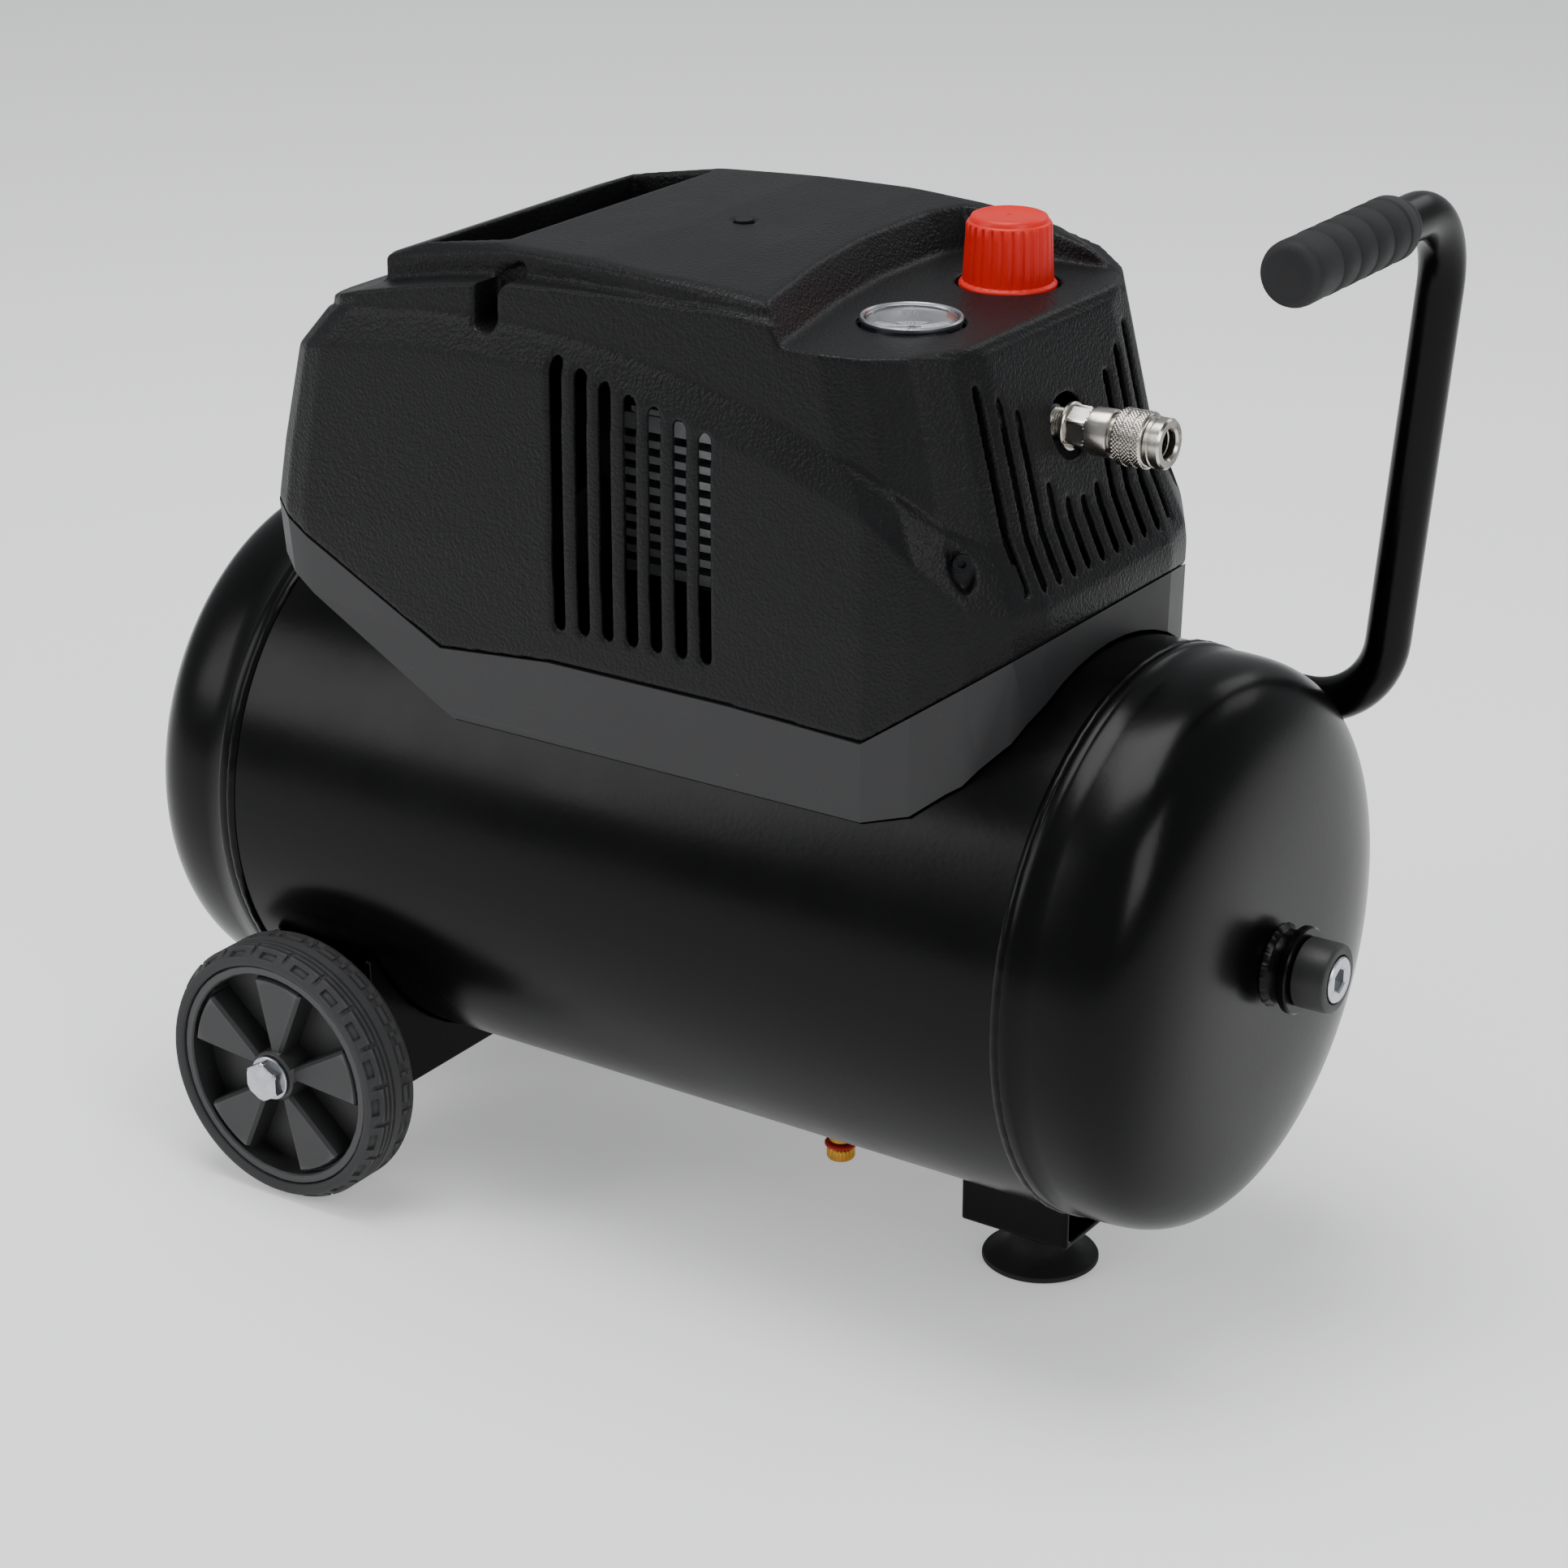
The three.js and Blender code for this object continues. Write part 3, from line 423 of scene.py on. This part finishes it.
ENAMEL, HOOD, SKIRT, HUB, TYRE = tank_enamel(), hood_shell(), skirt_shell(), hub_plastic(), tyre_rubber()
GRIP, FOOT, KNOB, ZINC, NICKEL = grip_rubber(), foot_rubber(), knob_red(), zinc_plate(), nickel_plate()
BRASS, CAST, SEAL, NYLON, DIAL = turned_brass(), cast_aluminium(), seal_red(), black_moulding(), dial_paper()
PRINT, LENS, PAPER, SCREW_SHADE = print_black(), lens_plastic(), studio_floor(), black_oxide()


def finish(part, material):
    part.data.materials.clear()
    part.data.materials.append(material)
    return part


# ---- tank ----
def build_tank():
    """A rolled barrel and two dished heads whose lips lap over it, with a weld bead where they meet."""
    at = middle("tank_shell")
    radius = half("tank_shell").z
    reach = half("tank_shell").x
    wall = 2.5
    outside = [(radius, -reach + 2 * reach * k / 24) for k in range(25)]
    inside = [(radius - wall, reach), (radius - wall, -reach)]
    shell = lathe("tank_barrel", outside + inside, at, X, Y, ["tank_shell"], 192, True)
    finish(shell, ENAMEL)
    for side, node in ((-1, "tank_head_left"), (1, "tank_head_right")):
        low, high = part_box(node)
        lip = high.x if side < 0 else low.x
        depth = (high.x - low.x) / MM - 6
        start = Vector((lip, at.y, at.z))
        turns = [(k / 40) ** 1.4 * math.pi / 2 for k in range(41)]
        dish = [(radius * math.sqrt(math.cos(a)), 6 + depth * math.sqrt(math.sin(a))) for a in turns[1:]]
        top = dish[-1][1]
        inner = [(max(r - wall * 1.1, 0), h - wall * min(1, h / 20)) for r, h in dish[:-1]]
        inner.append((0, top - wall))
        dish[-1] = (0, top)

        def head(angle):
            ripple = 0.12 * math.sin(150 * angle) + 0.1 * math.sin(61 * angle)
            bead = [(radius + 0.35, -3.4), (radius + 0.9 + ripple, -2.6), (radius + 1.3 + ripple, -1.2),
                    (radius + 1.25 + ripple, 0.2), (radius + 0.8, 0.7)]
            lip_out = [(radius + 1, 1.4), (radius + 1, 4.6), (radius + 0.7, 5.4), (radius - 0.1, 6.6)]
            return bead + lip_out + dish[1:] + inner[::-1] + [(radius - wall, 0.5)]
        made = lathe("tank_dish_" + node.split("_")[-1], head, start, X * side, Y, [node], 288, False, 50)
        finish(made, ENAMEL)


def build_port():
    """The welded socket in the right head, its black reducing bush and the plug in that."""
    base, top, rim = stand("port_flange", X)
    tube = rim - 3

    def boss(angle):
        ripple = 0.25 * math.sin(23 * angle) + 0.15 * math.sin(41 * angle)
        return [(12.6, -2), (tube + 2.6 + ripple, -2), (tube + 1.8 + ripple, 0.2), (tube + 0.4, 1.4),
                (tube, 2.2), (tube, top - 4.6), (tube + 0.4, top - 4.1), (rim - 0.6, top - 4.0),
                (rim, top - 3.3), (rim, top - 0.7), (rim - 0.7, top), (12.6, top)]
    finish(lathe("port_weld_boss", boss, base, X, Y, ["port_flange"], 160, True), ENAMEL)
    base, _, rim = stand("port_reducer", X)
    top = (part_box("port_plug")[1].x - base.x) / MM - 0.9
    ring = [(7.5, 0), (rim - 0.8, 0), (rim, 0.8), (rim, top - 1.6), (rim - 0.5, top - 0.5), (rim - 1.6, top),
            (10.9, top), (10.4, top - 0.7), (10.4, top - 6), (7.5, top - 6)]
    finish(lathe("port_reducing_bush", ring, base, X, Y, ["port_reducer"], 96, True), NYLON)
    base, top, rim = stand("port_plug", X)

    def plug(angle):
        flat = six_sided(4.6, angle)
        return [(0, 0), (7, 0), (7, top - 5.1), (rim - 0.5, top - 5.1), (rim, top - 4.6), (rim, top - 0.6),
                (rim - 0.5, top), (flat + 0.8, top), (flat, top - 0.7), (flat, top - 4.5), (0, top - 4.8)]
    finish(lathe("port_socket_plug", plug, base, X, Y, ["port_plug"], 96), ZINC)


# ---- drain ----
def build_drain():
    """The drain valve under the tank: brass neck, red fibre washer and knurled cap."""
    base, top, rim = stand("drain_cap")

    def cap(angle):
        flute = 0.4 * (0.5 + 0.5 * math.cos(22 * angle)) ** 2
        return [(0, 1.0), (rim - 2.4, 0.4), (rim - 1.2, 0), (rim - 0.5, 0.5), (rim - flute, 1.3),
                (rim - flute, top - 1.0), (rim - 0.4, top - 0.5), (rim - 0.8, top), (3.9, top),
                (3.9, 1.8), (0, 1.8)]
    finish(lathe("drain_knurled_cap", cap, base, Z, X, ["drain_cap"], 192), BRASS)
    base, top, rim = stand("drain_seal")
    ring = [(3.9, 0), (rim - 0.5, 0), (rim, 0.5), (rim, top - 0.6), (rim - 0.6, top), (3.9, top)]
    finish(lathe("drain_fibre_washer", ring, base, Z, X, ["drain_seal"], 96, True), SEAL)
    base, top, rim = stand("drain_stem")
    neck = [(0, 0), (3.2, 0), (3.6, 0.5), (3.6, 7), (rim - 0.5, 7), (rim, 7.5), (rim, 9.4), (rim - 0.7, 9.9),
            (rim - 0.7, 11.2), (rim, 11.7), (rim, top), (0, top)]
    finish(lathe("drain_brass_neck", neck, base, Z, X, ["drain_stem"], 72), BRASS)


# ---- wheels ----
WEDGES = 5
WEDGE_TURN = math.radians(13)
POCKETS = 20


def smooth_step(low, high, value):
    t = min(1, max(0, (value - low) / (high - low)))
    return t * t * (3 - 2 * t)


def build_tyre(tag, out):
    """A solid tyre: shoulder pockets with a bar in each, notched edge blocks and grooves round the tread."""
    node = "wheel_tyre_" + tag
    at = middle(node)
    rim = half(node).z
    face = half(node).y
    seat = 54.2
    pitch = TAU / POCKETS
    degrees = (-9, -8.2, -7.9, -4.2, -3.9, -1.3, 1.3, 3.9, 4.2, 7.9, 8.2)
    stations = [math.radians(local) + pitch * k for k in range(POCKETS) for local in degrees]
    wall = [(seat, -face + 1.2), (seat, face - 1.2), (54.9, face - 0.4), (56, face - 0.1), (57.6, face)]
    shoulder = [(58.6, face - 0.4), (58.9, face - 0.9), (59.5, face - 1.6), (60.5, face - 3.4),
                (60.9, face - 4.4), (61.2, face - 5.0)]
    tread = [(rim, face - 6.2)]
    for groove in (face - 7.4, face - 10.4, face - 13.4, face - 19.5, face - 23.5):
        tread += [(rim, groove + 0.9), (rim - 1.1, groove + 0.45), (rim - 1.1, groove - 0.45),
                  (rim, groove - 0.9)]
    back = [(rim, -face + 3), (rim - 0.8, -face + 1.2), (59, -face), (55, -face + 0.3)]
    rings = []
    for angle in stations:
        local = math.degrees((angle + pitch / 2) % pitch - pitch / 2)
        pocket = 1.5 if abs(local) < 4.0 else 0
        notch = 1.3 if abs(local) > 8.0 else 0
        ring = list(wall)
        for k, (r, h) in enumerate(shoulder):
            sunk = k in (2, 3)
            deep = pocket if sunk else 0
            raised = 0.5 if sunk and abs(local) < 1.4 else 0
            cut = notch * smooth_step(59.5, 61.5, r)
            ring.append((r - deep * 0.8 + raised - cut, h - deep * 0.75 + raised * 0.6))
        for r, h in tread:
            cut = notch * smooth_step(face - 13, face - 7, h)
            if 3.9 < abs(local) < 8.1 and h < -face + 9:
                cut += 0.9
            ring.append((r - cut * (1 if r > rim - 0.5 else 0.2), h))
        ring += back
        level = X * math.cos(angle) + Z * math.sin(angle)
        rings.append([at + (level * r + out * h) * MM for r, h in ring])
    mesh = bmesh.new()
    skin(mesh, rings)
    finish(piece("wheel_tread_" + tag, mesh, [node], 30), TYRE)


def build_hub(tag, out):
    """A moulded hub: boss, rim, and raised wedges that widen outward with chamfered edges."""
    node = "wheel_hub_" + tag
    at = middle("wheel_tyre_" + tag)
    bore, boss, seat, rim = 6.4, 12.0, 49.5, 53.9
    lip = half(node).y - 1.4
    tall = half(node).y
    panel, floor_out, floor_in = 12.0, -1.0, -4.0
    chamfer = 1.6
    wedge_end = 47.5
    radii = [12.6, 14, 18, 24, 30, 36, 42, 45, 47.0, 48.1, 48.9]
    near = radii[0]

    def half_turn(r, shrink):
        width = 2.2 + 13.1 * (r - 9) / 41.5
        return math.atan2(max(width - shrink, 0.3), r)
    # stations round each wedge: its crown, the chamfer and foot of each wall, and the gap to the next wedge
    marks = [("crown", -0.5), ("crown", 0), ("crown", 0.5), ("top", 1), ("edge", 1), ("foot", 1),
             ("gap", 0.15), ("gap", 0.35), ("gap", 0.65), ("gap", 0.85), ("foot", -1), ("edge", -1),
             ("top", -1)]
    rings = []
    for k in range(WEDGES):
        for kind, place in marks:
            ring = [(bore, tall - 0.5, near), (bore + 0.5, tall, near), (boss - 1, tall, near),
                    (boss, tall - 1, near)]
            outer, inner = [], []
            for r in radii:
                raised = kind in ("crown", "top") and r < wedge_end
                edge = kind == "edge" and r < wedge_end
                high = panel if raised else panel - chamfer if edge else floor_out
                low = -panel if raised else -panel + chamfer if edge else floor_in
                if kind in ("crown", "top") and wedge_end < r < wedge_end + 1:
                    high, low = panel - chamfer, -panel + chamfer
                if kind in ("crown", "top", "edge") and r > wedge_end + 1:
                    high, low = panel - 4, -panel + 4
                outer.append((r, high))
                inner.append((r, low))
            ring += [(r, h, r) for r, h in outer]
            ring += [(seat, outer[-1][1], seat), (seat, lip - 0.8, seat), (seat + 0.7, lip, seat),
                     (rim - 0.7, lip, seat), (rim, lip - 0.7, seat), (rim, -lip + 0.7, seat),
                     (rim - 0.7, -lip, seat), (seat + 0.7, -lip, seat), (seat, -lip + 0.8, seat),
                     (seat, inner[-1][1], seat)]
            ring += [(r, h, r) for r, h in inner[::-1]]
            ring += [(boss, -tall + 1, near), (boss - 1, -tall, near), (bore + 0.5, -tall, near),
                     (bore, -tall + 0.5, near)]
            points = []
            centre = TAU * k / WEDGES + WEDGE_TURN
            for r, h, measure in ring:
                wide, tight = half_turn(measure, 0), half_turn(measure, chamfer)
                if kind in ("crown", "top"):
                    angle = centre + place * tight
                elif kind == "edge":
                    angle = centre + place * wide
                elif kind == "foot":
                    angle = centre + (wide + 0.25 / measure) * place + (TAU / WEDGES if place < 0 else 0)
                else:
                    gap = TAU / WEDGES - 2 * wide
                    angle = centre + wide + gap * place
                if place < 0 and kind in ("edge", "top"):
                    angle += TAU / WEDGES
                level = X * math.cos(angle) + Z * math.sin(angle)
                points.append(at + (level * r + out * h) * MM)
            rings.append(points)
    mesh = bmesh.new()
    skin(mesh, rings)
    finish(piece("wheel_rim_" + tag, mesh, [node], 30), HUB)


def build_axle(tag, out):
    """The wheel's shouldered bolt with a flanged hex head, and its nut."""
    at = middle("axle_bolt_" + tag)
    long = half("axle_bolt_" + tag).y * 2
    inner = at - out * (long / 2 * MM)

    def bolt(angle):
        flat = six_sided(8.5, angle)
        tip = min(flat, 9.0)
        return [(0, 0), (5.4, 0), (6, 0.6), (6, long - 6.7), (10.2, long - 6.7), (10.5, long - 6.4),
                (10.4, long - 5.8), (9.9, long - 5.5), (flat, long - 5.5), (flat, long - 0.9),
                (tip, long - 0.35), (7.7, long), (0, long)]
    finish(lathe("wheel_bolt_" + tag, bolt, inner, out, X, ["axle_bolt_" + tag], 96, False, 28), ZINC)
    at = middle("axle_nut_" + tag)
    thick = half("axle_nut_" + tag).y

    def nut(angle):
        flat = six_sided(9, angle)
        tip = min(flat, 9.6)
        return [(6.3, -thick), (tip, -thick), (flat, -thick + 0.7), (flat, thick - 0.7), (tip, thick),
                (6.3, thick)]
    finish(lathe("wheel_nut_" + tag, nut, at, out, X, ["axle_nut_" + tag], 96, True, 28), ZINC)


# ---- foot ----
def build_foot():
    """The rubber foot, flared like a suction cup, on its stud."""
    base, top, rim = stand("foot_rubber")
    cone = [(5.4, 5), (20, 1.2), (22, 0), (rim - 0.6, 0), (rim, 0.5), (rim, 1.6), (rim - 0.5, 2.4),
            (rim - 3, 3.2), (20.5, 4.6), (16.5, 6.6), (14.2, 9.5), (12.9, 13), (12.5, 16), (12.5, top),
            (5.4, top)]
    finish(lathe("foot_suction_cup", cone, base, Z, X, ["foot_rubber"], 96, True), FOOT)
    base, top, _ = stand("foot_bolt")
    head = top - 7.7

    def bolt(angle):
        flat = six_sided(8, angle)
        return [(0, 0), (4.6, 0), (5, 0.5), (5, head), (flat, head), (flat, head + 5.4),
                (min(flat, 8.6), head + 6.1), (5.1, head + 6.2), (5, top - 0.5), (4.5, top), (0, top)]
    finish(lathe("foot_stud", bolt, base, Z, X, ["foot_bolt"], 96, False, 28), ZINC)


# ---- handle ----
def build_handle():
    """The bent tube, leaning outward as it rises, and the ribbed grip on its end."""
    radius = 10.0 * MM
    low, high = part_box("handle_tube")
    leg_y = high.y - radius
    bottom, top = low.z + radius, high.z - radius
    far = high.x - radius
    lean = 19 * MM
    grip_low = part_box("handle_grip")[0]
    end = grip_low.y + 5 * MM
    corners = [Vector((low.x, leg_y, bottom)), Vector((far - lean, leg_y, bottom)), Vector((far, leg_y, top)),
               Vector((far, end, top))]
    mesh = bmesh.new()
    swept(mesh, rounded_path(corners, 38 * MM), radius)
    finish(piece("push_handle_tube", mesh, ["handle_tube"]), ENAMEL)
    rim = half("handle_grip").x
    long = half("handle_grip").y * 2
    base = Vector((far, grip_low.y, top))
    profile = [(0, 1.6), (rim * 0.3, 1.3), (rim * 0.55, 0.6), (rim - 4, 0), (rim - 2.2, 0.4),
               (rim - 0.9, 1.6), (rim - 0.3, 3.4), (rim - 0.1, 6)]
    sleeve_end = long - 3
    for start in (22, 37, 52, 67, 82):
        profile += [(rim - 0.3, start - 0.9), (rim - 0.85, start), (rim - 0.8, start + 0.5),
                    (rim - 0.05, start + 1.3), (rim - 0.1, start + 7)]
    profile += [(rim - 0.3, sleeve_end - 6), (rim - 0.6, sleeve_end - 2), (rim - 1.3, sleeve_end),
                (rim - 2.4, long)]
    profile += [(10.6, long), (10.6, 6), (0, 6)]
    finish(lathe("push_handle_grip", profile, base, Y, X, ["handle_grip"], 96, False, 50), GRIP)


# ---- controls on the hood ----
def build_knob():
    """A tapered fluted knob with a flange at its foot and a shallow rim round its top."""
    base, tall, rim = stand("regulator_knob")

    def knob(angle):
        wave = 0.5 + 0.5 * math.cos(26 * angle)
        flute = 0.75 * wave ** 3
        side = [(rim - 1.5 - 0.05 * h - flute, 2.9 + h) for h in (0, 4, 8, 12, 16, 20, 24)]
        return [(0, 0), (rim - 0.4, 0), (rim, 0.4), (rim, 1.6), (rim - 0.5, 2.2)] + side + [
                (rim - 3.1, tall - 3.4), (rim - 3.4, tall - 2.9), (rim - 4.1, tall - 2.6),
                (rim - 4.4, tall - 1.6), (rim - 4.9, tall - 0.6), (rim - 6, tall - 0.1),
                (rim - 7.2, tall), (rim - 8, tall - 0.4), (4, tall - 0.35), (1.2, tall - 0.3),
                (0.8, tall - 0.9), (0, tall - 0.9)]
    finish(lathe("pressure_knob", knob, base, Z, X, ["regulator_knob"], 312, False, 50), KNOB)


def build_gauge():
    """A plated bowl with a rolled bezel, the dial in it and a domed clear lens."""
    base, tall, rim = stand("gauge_case")
    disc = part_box("gauge_dial")
    seat = (disc[0].z - base.z) / MM - 0.3
    bowl = [(0, 0), (4.6, 0), (5, 0.5), (5, 17.7), (rim - 0.9, 17.7), (rim - 0.8, tall - 3),
            (rim - 0.2, tall - 2.4), (rim, tall - 1.9), (rim, tall - 0.6), (rim - 0.5, tall),
            (rim - 1.1, tall), (rim - 1.7, tall - 0.6), (rim - 2.2, tall - 1.8), (rim - 2.2, seat),
            (0, seat)]
    finish(lathe("gauge_bezel", bowl, base, Z, X, ["gauge_case"], 128), ZINC)
    face = Vector((base.x, base.y, disc[0].z))
    thick = (disc[1].z - disc[0].z) / MM
    plate = [(1.9, 0), (18.8, 0), (18.8, thick - 0.2), (18.6, thick), (1.9, thick)]
    finish(lathe("gauge_dial_plate", plate, face, Z, X, ["gauge_dial"], 96, True), DIAL)
    build_dial_marks(Vector((base.x, base.y, disc[1].z)))
    base, crown, edge = stand("gauge_lens")
    dome = [(edge * k / 8, crown - 2.6 * (k / 8) ** 2) for k in range(9)]
    under = [(r, h - 1.3) for r, h in dome[::-1]]
    under[0] = (edge - 0.2, 0)
    dome[-1] = (edge, dome[-1][1] - 0.3)
    under[-1] = (0, under[-1][1])
    outline = dome + [(edge, 0.3)] + under
    finish(lathe("gauge_clear_lens", outline, base, Z, X, ["gauge_lens"], 96), LENS)


def build_dial_marks(centre):
    """Scale marks from lower left clockwise to lower right, and the numbers 0 to 10."""
    mesh = bmesh.new()
    for k in range(51):
        angle = math.radians(-135 - 5.4 * k)
        out = X * math.cos(angle) + Y * math.sin(angle)
        across = Z.cross(out)
        inner, wide = (13.6, 0.32) if k % 5 == 0 else (15.0, 0.16)
        corners = [out * inner - across * wide, out * 16.6 - across * wide, out * 16.6 + across * wide,
                   out * inner + across * wide]
        low = [mesh.verts.new(centre + c * MM) for c in corners]
        high = [mesh.verts.new(centre + (c + Z * 0.06) * MM) for c in corners]
        mesh.faces.new(low[::-1])
        mesh.faces.new(high)
        for j in range(4):
            mesh.faces.new([low[j], low[(j + 1) % 4], high[(j + 1) % 4], high[j]])
    for number in range(0, 11, 2):
        angle = math.radians(-135 - 27 * number)
        words = bpy.data.curves.new("number", "FONT")
        words.body = str(number)
        words.size, words.extrude = 3.6 * MM, 0.03 * MM
        words.align_x, words.align_y = "CENTER", "CENTER"
        writer = bpy.data.objects.new("number", words)
        shape = writer.to_mesh()
        shape.transform(Matrix.Translation(centre + (X * math.cos(angle) + Y * math.sin(angle)) * 10.8 * MM
                                           + Z * 0.04 * MM))
        mesh.from_mesh(shape)
        writer.to_mesh_clear()
        bpy.data.objects.remove(writer)
    finish(piece("gauge_scale_print", mesh, [], 30, "gauge_dial"), PRINT)


# ---- quick coupler ----
def build_coupler():
    """The quick coupler: stub, collar, hex, barrel and nose, and the sleeve with three knurled bands."""
    at, end, rim = stand("coupler_body", X)

    def body(angle):
        flat = six_sided(8.5, angle)
        soft = min(flat, 9.25)
        thread = []
        for k in range(6):
            thread += [(7.0, 0.6 + 1.1 * k), (6.4, 1.15 + 1.1 * k)]
        return [(0, 0), (6.2, 0)] + thread + [
            (7, 7.4), (10.1, 7.4), (10.4, 7.8), (10.4, 8.8), (10.0, 9.3), (soft, 9.35), (flat, 10.1),
            (flat, 17.5), (soft, 18.3), (8.8, 18.5), (8.8, 19.2), (10.0, 19.6), (10.3, 20.1),
            (10.3, 28.4), (9.9, 29.2), (8.6, 29.4), (8.5, end - 8), (rim - 0.7, end - 7.9),
            (rim, end - 7.1), (rim, end - 5.6), (rim - 0.5, end - 5.2), (rim - 0.5, end - 4.7),
            (rim, end - 4.3), (rim, end - 0.9), (rim - 0.8, end), (7.2, end), (6.3, end - 0.9),
            (6.3, end - 4), (5.9, end - 4.3), (5.9, end - 5), (6.3, end - 5.4), (6.3, 24), (0, 24)]
    finish(lathe("coupler_nickel_body", body, at, X, Y, ["coupler_body"], 144, False, 30), NICKEL)
    at, end, rim = stand("coupler_sleeve", X)
    bands = ((0.9, 4.1), (5.1, 8.9), (9.9, 12.9))

    def sleeve(angle):
        out = [(8.9, 0), (rim - 1.1, 0), (rim - 0.6, 0.35)]
        for start, stop in bands:
            steps = round((stop - start) / 0.27)
            out.append((rim - 0.55, start - 0.12))
            for k in range(steps + 1):
                h = start + (stop - start) * k / steps
                right = abs(math.sin(20 * angle + 1.9 * h))
                left = abs(math.sin(20 * angle - 1.9 * h))
                out.append((rim - 0.42 * (1 - min(right, left) ** 0.7), h))
            out.append((rim - 0.55, stop + 0.12))
        return out + [(rim - 0.9, end - 0.3), (rim - 1.3, end), (8.9, end)]
    knurled = lathe("coupler_knurled_sleeve", sleeve, at, X, Y, ["coupler_sleeve"], 320, True, 60)
    finish(knurled, NICKEL)


def build_hood():
    """The upper shell softened all over, and the lower moulding with its edges broken."""
    finish(eased("hood_cover", 1.2, 9), HOOD)
    mesh = bmesh.new()
    mesh.from_mesh(nodes["hood_skirt"].data)
    mesh.transform(nodes["hood_skirt"].matrix_world)
    bmesh.ops.remove_doubles(mesh, verts=mesh.verts, dist=1e-5)
    skirt = finish(piece("hood_lower_moulding", mesh, ["hood_skirt"], 34), SKIRT)
    bevelled(skirt, 0.8).harden_normals = True


def carry_over():
    """The plainer nodes keep their own shape, with fine edges and a finish of their own."""
    plain = {
        ENAMEL: ["drain_boss", "pump_saddle"],
        NYLON: ["cable_gland", "motor_housing", "motor_end_bell", "cooling_fan", "intake_filter",
                "pressure_switch", "motor_capacitor"],
        ZINC: ["motor_shaft", "safety_pull"],
        # the hood screws are coloured near black as painted shade of their slots
        SCREW_SHADE: ["hood_screw_left_front", "hood_screw_left_rear", "hood_screw_right_front",
                "hood_screw_right_rear"],
        BRASS: ["delivery_pipe", "check_valve", "safety_valve"],
        CAST: ["regulator_body", "crankcase", "cylinder_barrel", "cylinder_head", "piston", "outlet_manifold",
               "motor_stator"],
        PRINT: ["gauge_needle"],
        HOOD: ["hood_plug"],
    }
    for material, members in plain.items():
        for node in members:
            part = finish(nodes[node], material)
            part.modifiers.new("weld", "WELD").merge_threshold = 1e-5
            bevelled(part, 0.3)
    for node in ("wheel_bracket", "foot_bracket"):
        finish(eased(node, 0.9, 2), ENAMEL)


# ---- studio ----
def build_studio():
    """A pale floor, an even sky, four soft lamps and the camera."""
    mesh = bmesh.new()
    bmesh.ops.create_grid(mesh, x_segments=4, y_segments=4, size=12)
    data = bpy.data.meshes.new("studio_floor")
    mesh.to_mesh(data)
    mesh.free()
    floor = bpy.data.objects.new("studio_floor", data)
    bpy.context.scene.collection.objects.link(floor)
    floor.location.z = cad_low.z - 0.0005
    data.materials.append(PAPER)
    world = bpy.context.scene.world or bpy.data.worlds.new("studio")
    bpy.context.scene.world = world
    world.use_nodes = True
    world.node_tree.nodes["Background"].inputs["Color"].default_value = linear("#e8ebef")
    world.node_tree.nodes["Background"].inputs["Strength"].default_value = 0.5
    aim = (cad_low + cad_high) / 2
    lamps = [("overhead", (-0.2, -0.1, 2.6), 1.6, 1.4, 56), ("front_left", (-1.9, -2.0, 1.7), 1.2, 1.6, 30),
             ("right_side", (2.3, -0.9, 1.6), 1.0, 1.4, 26), ("back_rim", (0.6, 2.2, 1.9), 1.6, 1.0, 10)]
    for name, place, width, height, power in lamps:
        lamp = bpy.data.lights.new(name, "AREA")
        lamp.shape = "RECTANGLE"
        lamp.size, lamp.size_y, lamp.energy = width, height, power
        made = bpy.data.objects.new(name, lamp)
        bpy.context.scene.collection.objects.link(made)
        made.location = place
        made.rotation_euler = (aim - Vector(place)).to_track_quat("-Z", "Y").to_euler()
    camera = bpy.data.cameras.new("camera")
    camera.lens, camera.sensor_width = 87.15, 36
    eye = bpy.data.objects.new("camera", camera)
    bpy.context.scene.collection.objects.link(eye)
    eye.location = (0.88495, -1.3163, 0.8498)
    eye.rotation_euler = (math.radians(90 - 22.36), 0, math.radians(33.78))
    bpy.context.scene.camera = eye


build_studio()
build_tank()
build_port()
build_drain()
for tag, out in (("front", -Y), ("rear", Y)):
    build_tyre(tag, out)
    build_hub(tag, out)
    build_axle(tag, out)
build_foot()
build_handle()
build_knob()
build_gauge()
build_coupler()
build_hood()
carry_over()
